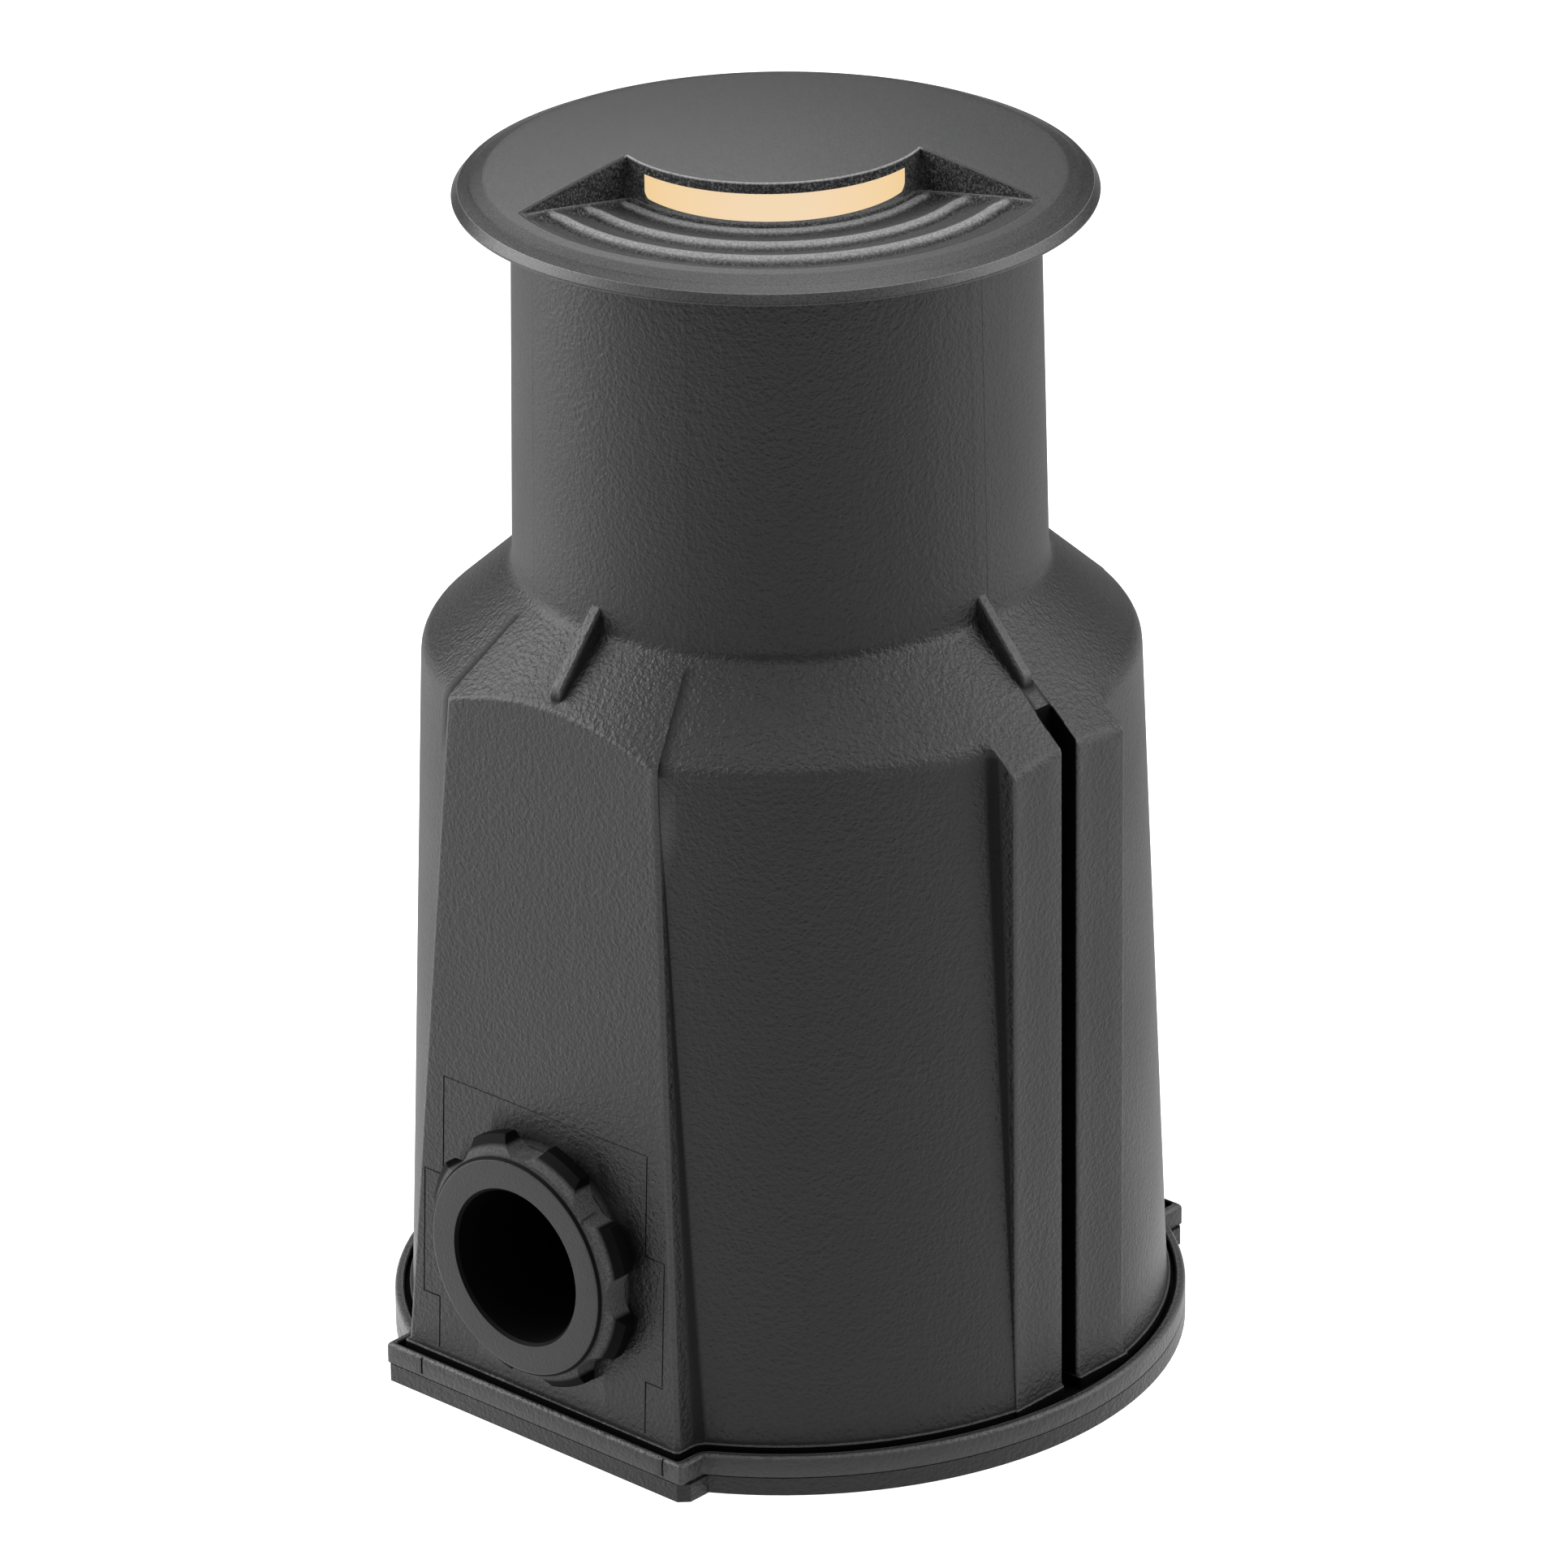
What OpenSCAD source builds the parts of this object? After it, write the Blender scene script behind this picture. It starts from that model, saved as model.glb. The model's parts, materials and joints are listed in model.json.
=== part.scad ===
// In ground well light with a one-way scoop window.
// A buried housing carries a lamp insert in its neck. Two screwed bushings let the conduit in.
// The origin is at the bottom centre, +Z is up, the bushings are on the Y axis.

/* [Foot] */
// Radius of the round foot flange
flange_r = 51.15; // [50.6:0.05:56]
// Distance of the flange's two flats from the axis
flange_flat = 48.45; // [48:0.05:50]
// Half-width of the ears that carry the flats
ear_half_w = 25.7; // [24.5:0.1:30]
// Thickness of the flange of the housing
flange_t = 2.9; // [2:0.1:5]
// Thickness of the base cover under it
cover_t = 2.4; // [2:0.1:4]

/* [Body] */
// Radius of the tapered body at the ground plane
body_foot_r = 49; // [47.5:0.1:49.4]
// Radius lost per millimetre of height by the body
body_lean = 0.0392; // [0.02:0.0002:0.06]
// Wall of the housing
wall = 2.5; // [2:0.1:3]
// Distance of the conduit pads from the axis at the ground plane
pad_foot = 46.9; // [46:0.1:47.2]
// Distance lost per millimetre of height by the pads
pad_lean = 0.0484; // [0.03:0.0002:0.06]
// Half-width of the pads at the ground plane
pad_half_w = 23.8; // [22:0.1:24.2]
// Half-width lost per millimetre of height by the pads
pad_narrowing = 0.0648; // [0.04:0.0002:0.08]
// Distance of the slotted bars' faces from the axis
bar_face = 47.9; // [47:0.1:48.2]
// Half-width of the slotted bars
bar_half_w = 10.3; // [8:0.1:12]
// Width of the slot between the bars
slot_w = 2.9; // [2:0.1:4]
// Distance of the slot's floor from the axis
slot_floor = 43.5; // [43:0.1:45]

/* [Neck] */
// Height of the foot of the neck
neck_foot_z = 106; // [100:0.5:120]
// Radius of the neck at its foot
neck_foot_r = 33.6; // [33:0.1:35]
// Radius of the neck at its top
neck_top_r = 32.7; // [32.4:0.1:33.6]
// Height of the neck's top edge
neck_top_z = 153.4; // [148:0.1:175]
// Radius of the bore that guides the lamp insert
neck_bore_r = 30.2; // [29.6:0.1:30.4]
// Fall of the shoulder per millimetre of radius
shoulder_slope = 0.898; // [0.7:0.002:1]
// Thickness of the four gusset ribs
gusset_t = 1.8; // [1.2:0.1:3]

/* [Conduit entry] */
// Height of the conduit axis
entry_z = 25.35; // [22:0.05:35]
// Radius of the conduit bore
conduit_r = 10.15; // [8:0.05:10.6]
// Radius of the bushing's threaded barrel
barrel_r = 12.6; // [11.8:0.1:13]
// Distance of the seat of the bushing's head from the axis
head_seat_y = 46.3; // [46:0.05:46.6]
// Thickness of the fluted head
head_t = 4.5; // [4:0.1:7]
// Radius over the head's lobes
lobe_r = 16.9; // [16:0.1:18]
// Radius of the head's front ring
head_ring_r = 14.7; // [14:0.1:15.4]
// Length of the barrel behind the seat
barrel_len = 10.4; // [8:0.1:14]

/* [Faceplate] */
// Radius of the rim
plate_r = 40; // [38.5:0.1:44]
// Height of the dome's crown over the rim's underside
plate_rise = 3.8; // [3.8:0.1:4.4]
// Direction in which the scoop looks, turned from +Y
aim_deg = -135; // [-180:5:180]
// Radius of the arc of the scoop's roof
roof_r = 19.73; // [19.6:0.01:20]
// Distance of the roof arc's centre behind the axis
roof_back = 12.56; // [12.5:0.01:12.7]
// Half-width of the glowing window
window_half_w = 16.1; // [12:0.1:16.4]

/* [Lamp insert] */
// Clearance between the lamp body's skirt and the bore of the neck
skirt_gap = 0.4; // [0.3:0.05:1]
// Distance of the fins' edges inside the skirt
fin_setback = 1.2; // [0.4:0.1:2.2]
// Depth of the fins on the core
fin_depth = 3.6; // [2.6:0.1:4.1]
// Number of fins
fin_count = 18; // [12:3:24]
// Height of the open lower end of the lamp body
can_bottom_z = 99; // [90:0.5:102]
// Wall between the core's outside and the electronics bore
can_wall = 2.5; // [2:0.1:3]
// Radius of an O-ring's section
ring_section_r = 1.3; // [1:0.05:1.5]

/* [Hidden] */
$fn = 90;
eps = 0.01;
far = 70;

// Fits
turn_gap = 0.05;      // between a thread or pin and its hole
slip_gap = 0.1;       // between an O-ring and the walls it seals
loose_gap = 0.3;      // between parts that are only put together

// Foot
flange_top = cover_t + flange_t;
flange_round = 0.6;
foot_groove_w = 1.1;
foot_groove_depth = 1.2;
foot_bead_w = 0.4;
foot_bead_top = flange_top + 0.6;
cover_ear_step = 0.5;
cover_ear_chamfer = 1.2;
lip_h = 3;
lip_w = 2;
lip_notch_w = 8.6;            // the lip leaves room for the backs of the slots
gasket_w = 1.4;
gasket_depth = 1.2;
gasket_edge = 1.5;            // from the flange's edge to the gasket

// Body
crease_r = (body_foot_r - body_lean * (neck_foot_z + shoulder_slope * neck_foot_r))
           / (1 - body_lean * shoulder_slope);
crease_z = neck_foot_z - shoulder_slope * (crease_r - neck_foot_r);
shoulder_drop = wall * sqrt(1 + shoulder_slope * shoulder_slope);
blank_low = -5;               // where the blanks of the body start
neck_blank_r = neck_foot_r + 2;
bar_bite = 0.5;               // the bars' flat cuts this deep into the cone
slot_back = wall;             // material behind the slot's floor
slot_back_half_w = 4;
slot_sill = 0.2;              // from the groove's floor up to the slot's end
bar_round = 0.6;
gusset_top_z = neck_foot_z + 3.8;
gusset_end_r = neck_foot_r + 7.4;
gusset_end_h = 1.6;
gusset_root_r = neck_bore_r + 1;
gusset_top_r = neck_foot_r - 0.3;
witness_w = 0.22;
witness_depth = 0.16;
witness_top = [17.6, 44.4];   // half-width and height above the ground plane
witness_step = 30.8;          // height at which the outline widens
witness_foot = [18, 13.5];
witness_edge = 1;             // from the pad's edge to the widest part
mark_depth = 0.2;
mark_w = 0.3;
mark_x = [-19.5, 22.4];

// Base screws
base_screw_x = 19;
base_screw_y = 41.5;
base_screw_r = 1.6;
base_screw_head_r = 3.1;
base_screw_head_t = 1.6;
base_screw_len = 14;
base_post_r = 3.5;
base_post_top = 18;
recess_w = 0.6;               // arms of the cross recess in every screw
base_recess = 2.6;
base_recess_depth = 0.9;

// Conduit entry
seat_boss_r = 15;
collar_r = 15;
collar_inner_y = head_seat_y - barrel_len - 1;
washer_t = 1;
washer_r = 13.8;
flute_count = 8;
flute_cut_r = 4.2;
flute_centre_r = 18.75;
ring_step = 1.5;              // from the head's front face back to its lobes
head_back_edge = 0.3;
head_front_round = 0.7;
bore_edge = 0.4;

// Radii of the insert, from the bore of the neck inwards
skirt_r = neck_bore_r - skirt_gap;
fin_r = skirt_r - fin_setback;
core_r = fin_r - fin_depth;
can_bore_r = core_r - can_wall;

// Heights of the insert
rim_gasket_t = 0.8;
plate_bottom = neck_top_z + rim_gasket_t;
crown_z = plate_bottom + plate_rise;
boss_h = 4.7;
boss_bottom = plate_bottom - boss_h;
plate_gasket_t = 0.8;
can_top = boss_bottom - plate_gasket_t;
top_wall = 3.6;
can_ceiling = can_top - top_wall;

// Rim, ring and dome
rim_side_h = 1.55;
rim_side_in = 0.6;
rim_low_edge = 0.3;
rim_top_edge = 0.2;
ring_break_in = 2.2;
ring_break_h = 2.1;
dome_r = plate_r - 4;
dome_edge_z = plate_bottom + 2.8;
dome_steps = 12;

// Scoop, in the plate's own frame: +Y is the direction of the light
scoop_corner_x = 18;
scoop_corner_y = -4.85;
scoop_tip_x = 32.15;
scoop_tip_y = 13.3;
scoop_front_r = plate_r - 5.5;
floor_back_r = roof_r + 0.2;
curb_r = roof_r + 0.45;
floor_back_z = crown_z - 5.8;
floor_rise = 4.9;
curb_top = crown_z - 5.25;
roof_under = crown_z - 1.5;
groove_low = [0.15, 0.485, 0.83];
groove_crest = [0.35, 0.67, 1];
groove_drop = 0.42;
crest_wear = 0.03;
bowl_end = 1.1;               // the bowl leaves the dome at 1
groove_end = 2.2;             // from the side walls to the grooves' ends
bowl_steps = 120;

// Window
lens_r = 17.8;
lens_back = 11.1;
lens_t = 2;
lens_lap = 1;                 // hidden at each end
lens_bottom = boss_bottom + 1.1;

// Light source
board_t = 1.6;
led_board_r = 15.2;
led_arc_r = 11.5;
led_count = 5;
led_pitch = 26;
led_size = [3.5, 2.8, 0.7];
reflector_top_r = 14.8;
reflector_low_r = 6;
reflector_wall = 1.3;
lead_x = 2.2;
lead_y = -4;
lead_r = 0.7;

// Faceplate screws
plate_screw_places = [[0, 18.5], [12.5, -14], [-12.5, -14]];
plate_screw_r = 1.5;
plate_screw_hole_r = 1.7;
plate_screw_head_r = 2.75;
plate_screw_head_t = 2.2;
plate_screw_depth = 2.8;
plate_recess = 2.6;
plate_recess_depth = 1;

// Lamp body
skirt_bottom = can_top - 14.7;
ring_groove_w = 3;
upper_ring_z = can_top - 4.5;
lower_ring_z = can_top - 10;
ring_outer_r = neck_bore_r - slip_gap;
ring_mid_r = ring_outer_r - ring_section_r;
ring_groove_r = ring_mid_r - ring_section_r - slip_gap;
fin_t = 1.6;
post_count = 3;
post_r = 2.8;
post_centre_r = core_r + 0.6;
post_turn = 10;

// Driver board
driver_z = 118;
driver_r = can_bore_r - 0.8;
standoff_r = 2.6;
standoff_centre_r = driver_r - 2.3;
standoff_turns = [0, 180, 270];
board_screw_r = 1.25;
board_screw_head_r = 2.3;
board_screw_head_t = 1.6;
board_screw_depth = 5;
board_recess = 2.2;
board_recess_depth = 0.8;
driver_top = driver_z + board_t;
potting_top = driver_z - board_screw_head_t - 0.4;
potting_bottom = can_bottom_z + 9;

// Parts on the driver board
capacitor_place = [-10, 6];
capacitor_r = 5;
capacitor_h = 16;
capacitor_bead_z = 1.2;       // foot of the bead round the can
capacitor_bead_h = 0.9;
capacitor_edge = 0.4;
inductor_place = [driver_r - 11.7, 6];
inductor_r = 6;
inductor_core_r = 4.9;
inductor_flange_t = 1.6;
inductor_h = 8;
rectifier_place = [5.5, -9];
rectifier_size = [7, 5, 2.2];
rectifier_leg_x = [6.2, 10.8];
rectifier_leg_y = [-10, -4.2];
rectifier_leg = [1, 1.2, 1.2];
rectifier_lift = 0.4;
chip_place = [-10, -9.5];
chip_size = [5, 4, 1.5];
chip_leg_y = [-10.4, -5.7];
chip_leg = [0.5, 1.1, 0.9];
chip_pitch = 1.27;
chip_lift = 0.3;

// Bottom cap and gland
seal_t = 0.8;
cap_t = 3;
spigot_h = 2.8;
cap_top = can_bottom_z - seal_t;
cap_bottom = cap_top - cap_t;
cap_screw_r = 1.5;
cap_screw_head_r = 2.7;
cap_screw_head_t = 2.2;
cap_screw_depth = 8;
cap_recess = 2.6;
cap_recess_depth = 1;
gland_r = 5;
gland_bore_r = 2.6;
gland_hex_r = 8.2;
gland_hex_t = 4;
gland_dome_h = 11;
gland_dome_r = 7;
gland_nose_r = 3.9;
locknut_r = 7.6;
locknut_t = 2.6;

function shoulder_z(r) = neck_foot_z - shoulder_slope * (r - neck_foot_r);
function body_r(z) = body_foot_r - body_lean * z;
function pad_y(z) = pad_foot - pad_lean * z;
function pad_x(z) = pad_half_w - pad_narrowing * z;
function lean_angle() = atan(pad_lean);

// Helpers: the outline drawn in X and Y is stood up and pushed out to both sides
module along_x(len) rotate([90, 0, 90]) translate([0, 0, -len / 2]) linear_extrude(len) children();
module along_y(len) rotate([90, 0, 0]) translate([0, 0, -len / 2]) linear_extrude(len) children();
module aimed() rotate(aim_deg) children();
module on_both_sides() for (turn = [0, 180]) rotate(turn) children();

// The outline of the body where it meets the flange
module body_outline(grow) {
    z = flange_top;
    intersection() {
        circle(r = body_r(z) + grow);
        square([4 * far, 2 * (pad_y(z) + grow)], center = true);
    }
    square([2 * (pad_x(z) + grow), 2 * (pad_y(z) + grow)], center = true);
}

// Housing: blanks that pass up through the shoulder, trimmed by one turned outline
module outer_outline() {
    rotate_extrude() polygon([
        [0, cover_t], [far, cover_t], [far, shoulder_z(far)],
        [neck_foot_r, neck_foot_z], [neck_top_r, neck_top_z], [0, neck_top_z]]);
}

module inner_outline_solid() {
    low = cover_t - 1;
    rotate_extrude() polygon([
        [0, low], [far, low], [far, shoulder_z(far) - shoulder_drop],
        [neck_bore_r, shoulder_z(neck_bore_r) - shoulder_drop],
        [neck_bore_r, neck_top_z + 1], [0, neck_top_z + 1]]);
}

module pad_slab(inset) {
    low = blank_low;
    along_x(2 * far) polygon([
        [-pad_y(low) + inset, low], [pad_y(low) - inset, low],
        [pad_y(neck_foot_z) - inset, neck_foot_z], [-pad_y(neck_foot_z) + inset, neck_foot_z]]);
}

module pad_block(inset) {
    low = blank_low;
    intersection() {
        along_y(2 * far) polygon([
            [-pad_x(low) + inset, low], [pad_x(low) - inset, low],
            [pad_x(neck_foot_z) - inset, neck_foot_z], [-pad_x(neck_foot_z) + inset, neck_foot_z]]);
        pad_slab(inset);
    }
}

module body_cone(inset) {
    low = blank_low;
    intersection() {
        translate([0, 0, low])
            cylinder(r1 = body_r(low) - inset, r2 = body_r(neck_foot_z) - inset,
                     h = neck_foot_z - low);
        pad_slab(inset);
    }
}

module bar_outline() {
    low = slot_floor - wall;
    translate([low, -bar_half_w]) square([bar_face - bar_round - low, 2 * bar_half_w]);
    translate([low, -bar_half_w + bar_round])
        square([bar_face - low, 2 * (bar_half_w - bar_round)]);
    for (side = [-1, 1])
        translate([bar_face - bar_round, side * (bar_half_w - bar_round)]) circle(r = bar_round);
}

module body_blank() {
    flat = bar_half_w - bar_round;
    difference() {
        body_cone(0);
        on_both_sides() translate([bar_face - bar_bite, -flat, -far]) cube([far, 2 * flat, 3 * far]);
    }
    pad_block(0);
    on_both_sides() linear_extrude(neck_foot_z) bar_outline();
    translate([0, 0, crease_z]) cylinder(r = neck_blank_r, h = neck_top_z);
}

module body_shell() {
    intersection() {
        outer_outline();
        body_blank();
    }
}

module body_hollow() {
    intersection() {
        inner_outline_solid();
        union() {
            body_cone(wall);
            pad_block(wall);
            translate([0, 0, crease_z]) cylinder(r = neck_blank_r, h = neck_top_z);
        }
    }
}

module gussets() {
    for (turn = [0:90:270]) rotate(turn) along_y(gusset_t) polygon([
        [gusset_root_r, crease_z], [gusset_root_r, gusset_top_z], [gusset_top_r, gusset_top_z],
        [gusset_end_r, shoulder_z(gusset_end_r) + gusset_end_h],
        [gusset_end_r, shoulder_z(gusset_end_r) - 1]]);
}

// A block with round upper edges, and a disc with the same edge, for the housing's flange
module round_edged(half_w) {
    corner = flange_top - flange_round;
    translate([-half_w, cover_t]) square([2 * half_w, corner - cover_t]);
    translate([-half_w + flange_round, cover_t])
        square([2 * (half_w - flange_round), flange_t]);
    for (side = [-1, 1]) translate([side * (half_w - flange_round), corner])
        circle(r = flange_round, $fn = 32);
}

module flange() {
    intersection() {
        along_x(4 * far) round_edged(flange_flat);
        union() {
            rotate_extrude() intersection() {
                round_edged(flange_r);
                square([far, far]);
            }
            along_y(4 * far) round_edged(ear_half_w);
        }
    }
}

module foot_groove() {
    translate([0, 0, flange_top - foot_groove_depth]) linear_extrude(foot_groove_depth + 1)
        difference() {
            body_outline(foot_groove_w);
            body_outline(foot_bead_w);
        }
}

module foot_bead() {
    low = cover_t + 0.5;
    translate([0, 0, low]) linear_extrude(foot_bead_top - low) difference() {
        body_outline(foot_bead_w + 0.1);
        body_outline(-wall / 2);
    }
}

// Stepped outline of the mould insert around the conduit entry
module witness_outline(inset) {
    upper = [witness_top[0] - inset, witness_top[1] - inset];
    lower = [pad_x(witness_step) - witness_edge - inset, witness_step - inset];
    foot = [witness_foot[0] - inset, witness_foot[1] + inset];
    polygon([
        [-foot[0], flange_top - 3], [foot[0], flange_top - 3], foot, [lower[0], foot[1]], lower,
        [upper[0], lower[1]], upper, [-upper[0], upper[1]], [-upper[0], lower[1]],
        [-lower[0], lower[1]], [-lower[0], foot[1]], [-foot[0], foot[1]]]);
}

module witness_line() {
    rise = foot_bead_top + 0.6;
    intersection() {
        translate([0, -pad_foot, 0]) rotate([90 - lean_angle(), 0, 0])
            translate([0, 0, -witness_depth]) linear_extrude(2) difference() {
                witness_outline(0);
                witness_outline(witness_w);
            }
        translate([-far, -far, rise]) cube([2 * far, far, far]);
    }
}

module witness_lines() {
    on_both_sides() witness_line();
    on_both_sides() for (x = mark_x)
        translate([x, -flange_flat - 1, cover_t + 0.5])
            cube([mark_w, 1 + mark_depth, flange_t - 0.5]);
}

// The slots run down into the foot groove and end inside it
module slots() {
    reach = body_foot_r + (foot_bead_w + foot_groove_w) / 2 - slot_floor;
    on_both_sides() translate([slot_floor, -slot_w / 2, flange_top - foot_groove_depth + slot_sill])
        cube([reach, slot_w, neck_foot_z]);
}

module slot_backs() {
    low = cover_t + 0.5;
    intersection() {
        on_both_sides()
            translate([slot_floor - slot_back, -slot_back_half_w, low])
                cube([slot_back + 0.5, 2 * slot_back_half_w, neck_foot_z]);
        translate([0, 0, -1]) outer_outline();
    }
}

module at_base_screws() {
    for (x = [-1, 1], y = [-1, 1]) translate([x * base_screw_x, y * base_screw_y, 0]) children();
}

module base_posts() {
    translate([0, 0, cover_t]) at_base_screws()
        cylinder(r = base_post_r, h = base_post_top - cover_t);
}

module entry_collar() {
    translate([0, -collar_inner_y, entry_z]) rotate([90, 0, 0])
        cylinder(r = collar_r, h = pad_y(entry_z) - wall / 2 - collar_inner_y);
    translate([0, -pad_y(entry_z) + 1, entry_z]) rotate([90, 0, 0])
        cylinder(r = seat_boss_r, h = head_seat_y - pad_y(entry_z) + 1.5);
}

// The pad is faced flat where the head of the bushing bears on it
module head_seat() {
    translate([0, -head_seat_y, entry_z]) rotate([90, 0, 0])
        cylinder(r = lobe_r + loose_gap, h = head_t);
}

module entry_bore() {
    translate([0, -collar_inner_y + 1, entry_z]) rotate([90, 0, 0])
        cylinder(r = barrel_r + turn_gap, h = barrel_len + 4);
}

module housing() {
    color("#3b3b3b") difference() {
        union() {
            difference() {
                union() {
                    body_shell();
                    gussets();
                    flange();
                    foot_bead();
                }
                body_hollow();
                foot_groove();
            }
            slot_backs();
            base_posts();
            on_both_sides() entry_collar();
        }
        slots();
        witness_lines();
        on_both_sides() entry_bore();
        on_both_sides() head_seat();
        translate([0, 0, cover_t - 1]) at_base_screws()
            cylinder(r = base_screw_r + turn_gap, h = base_screw_len);
    }
}

// Base cover with its locating lip
module inner_outline(inset) {
    z = cover_t;
    intersection() {
        circle(r = body_r(z) - wall - inset);
        square([4 * far, 2 * (pad_y(z) - wall - inset)], center = true);
    }
    square([2 * (pad_x(z) - wall - inset), 2 * (pad_y(z) - wall - inset)], center = true);
}

module cover_outline() {
    ear = ear_half_w + cover_ear_step;
    cut = cover_ear_chamfer;
    intersection() {
        circle(r = flange_r);
        square([4 * far, 2 * flange_flat], center = true);
    }
    polygon([
        [ear, -flange_flat + cut], [ear, flange_flat - cut], [ear - cut, flange_flat],
        [-ear + cut, flange_flat], [-ear, flange_flat - cut], [-ear, -flange_flat + cut],
        [-ear + cut, -flange_flat], [ear - cut, -flange_flat]]);
}

module gasket_outline(inset) {
    intersection() {
        circle(r = flange_r - gasket_edge - inset);
        square([4 * far, 2 * (flange_flat - gasket_edge - inset)], center = true);
    }
}

module gasket_ring(side_gap) {
    difference() {
        gasket_outline(-side_gap);
        gasket_outline(gasket_w + side_gap);
    }
}

module base_cover() {
    color("#333333") difference() {
        union() {
            linear_extrude(cover_t) cover_outline();
            translate([0, 0, cover_t - 0.5]) linear_extrude(lip_h + 0.5) difference() {
                inner_outline(loose_gap);
                inner_outline(loose_gap + lip_w);
            }
        }
        translate([0, 0, cover_t - gasket_depth]) linear_extrude(gasket_depth + eps)
            gasket_ring(turn_gap);
        at_base_screws() {
            translate([0, 0, -1]) cylinder(r = base_screw_r + slip_gap, h = cover_t + 2);
            translate([0, 0, -eps])
                cylinder(r1 = base_screw_head_r + slip_gap, r2 = base_screw_r + slip_gap,
                         h = base_screw_head_t + slip_gap);
            translate([0, 0, cover_t]) cylinder(r = base_post_r + loose_gap, h = lip_h + 1);
        }
        on_both_sides()
            translate([slot_floor - slot_back - loose_gap, -lip_notch_w / 2, cover_t])
                cube([far, lip_notch_w, lip_h + 1]);
    }
}

module base_gasket() {
    color("#1c1c1c") translate([0, 0, cover_t - gasket_depth])
        linear_extrude(gasket_depth) gasket_ring(0);
}

module base_screws() {
    color("#b8b8b8") at_base_screws() difference() {
        union() {
            translate([0, 0, slip_gap])
                cylinder(r1 = base_screw_head_r, r2 = base_screw_r, h = base_screw_head_t);
            translate([0, 0, slip_gap]) cylinder(r = base_screw_r, h = base_screw_len - 2);
        }
        cross_recess(base_recess, base_recess_depth);
    }
}

module cross_recess(span, depth) {
    for (turn = [0, 90]) rotate(turn)
        translate([-span / 2, -recess_w / 2, -1]) cube([span, recess_w, depth + 1]);
}

module rim_gasket() {
    color("#202020") translate([0, 0, neck_top_z]) difference() {
        cylinder(r = neck_top_r - 0.3, h = rim_gasket_t);
        translate([0, 0, -1]) cylinder(r = neck_bore_r + 0.3, h = rim_gasket_t + 2);
    }
}

// Conduit bushing: a fluted head, and a barrel that screws into the housing
module bushing() {
    lobe_front = head_t - ring_step;
    chamfer = lobe_r - head_ring_r;
    translate([0, -head_seat_y, entry_z]) rotate([90, 0, 0]) difference() {
        union() {
            difference() {
                rotate_extrude() polygon([
                    [0, 0], [lobe_r - head_back_edge, 0], [lobe_r, head_back_edge],
                    [lobe_r, lobe_front - chamfer * 0.5],
                    [head_ring_r, lobe_front + chamfer * 0.25], [0, lobe_front + chamfer * 0.25]]);
                for (i = [0:flute_count - 1]) rotate(i * 360 / flute_count)
                    translate([flute_centre_r, 0, -1]) cylinder(r = flute_cut_r, h = head_t + 2);
            }
            cylinder(r = head_ring_r, h = head_t - head_front_round);
            cylinder(r = head_ring_r - head_front_round, h = head_t);
            translate([0, 0, head_t - head_front_round]) rotate_extrude()
                translate([head_ring_r - head_front_round, 0]) circle(r = head_front_round, $fn = 32);
            translate([0, 0, -barrel_len]) cylinder(r = barrel_r, h = barrel_len + 1);
        }
        translate([0, 0, -barrel_len - 1]) cylinder(r = conduit_r, h = barrel_len + head_t + 2);
        translate([0, 0, head_t - bore_edge])
            cylinder(r1 = conduit_r, r2 = conduit_r + bore_edge, h = bore_edge + eps);
        translate([0, 0, -1]) difference() {
            cylinder(r = washer_r + slip_gap, h = 1 + washer_t);
            translate([0, 0, -1]) cylinder(r = barrel_r, h = 3 + washer_t);
        }
    }
}

module washer() {
    translate([0, -head_seat_y, entry_z]) rotate([90, 0, 0]) difference() {
        cylinder(r = washer_r, h = washer_t);
        translate([0, 0, -1]) cylinder(r = barrel_r + slip_gap, h = washer_t + 2);
    }
}

module front_bushing() { color("#3f3f3f") bushing(); }
module front_washer() { color("#181818") washer(); }
module rear_bushing() { color("#3f3f3f") rotate(180) bushing(); }
module rear_washer() { color("#181818") rotate(180) washer(); }

// O-rings that guide and seal the insert
module o_ring(z) {
    color("#141414") translate([0, 0, z]) rotate_extrude()
        translate([ring_mid_r, 0]) circle(r = ring_section_r, $fn = 32);
}

module upper_o_ring() { o_ring(upper_ring_z); }
module lower_o_ring() { o_ring(lower_ring_z); }

// Scoop: the bowl's floor rises from the curb to the front, in rings whose centres move forward
function bowl_ring(t, drop) = [
    -roof_back * (1 - t),
    floor_back_r + (scoop_front_r - floor_back_r) * t,
    floor_back_z + floor_rise * t - drop];

module bowl(rings) {
    count = len(rings);
    points = [for (ring = rings, i = [0:bowl_steps - 1]) [
        ring[1] * sin(i * 360 / bowl_steps), ring[0] + ring[1] * cos(i * 360 / bowl_steps), ring[2]]];
    sides = [for (k = [0:count - 2], i = [0:bowl_steps - 1]) [
        k * bowl_steps + i, k * bowl_steps + (i + 1) % bowl_steps,
        (k + 1) * bowl_steps + (i + 1) % bowl_steps, (k + 1) * bowl_steps + i]];
    bottom = [for (i = [bowl_steps - 1:-1:0]) i];
    top = [for (i = [0:bowl_steps - 1]) (count - 1) * bowl_steps + i];
    polyhedron(points, concat([bottom], sides, [top]));
}

module crest_bowl() {
    bowl([bowl_ring(0, 0), bowl_ring(bowl_end, 0), bowl_ring(bowl_end, -3)]);
}

module grooved_bowl() {
    cut = crest_wear;
    bowl([
        bowl_ring(0, cut),
        bowl_ring(groove_low[0], groove_drop), bowl_ring(groove_crest[0], cut),
        bowl_ring(groove_low[1], groove_drop), bowl_ring(groove_crest[1], cut),
        bowl_ring(groove_low[2], groove_drop), bowl_ring(groove_crest[2], cut),
        bowl_ring(bowl_end, cut), bowl_ring(bowl_end, -3)]);
}

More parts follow.
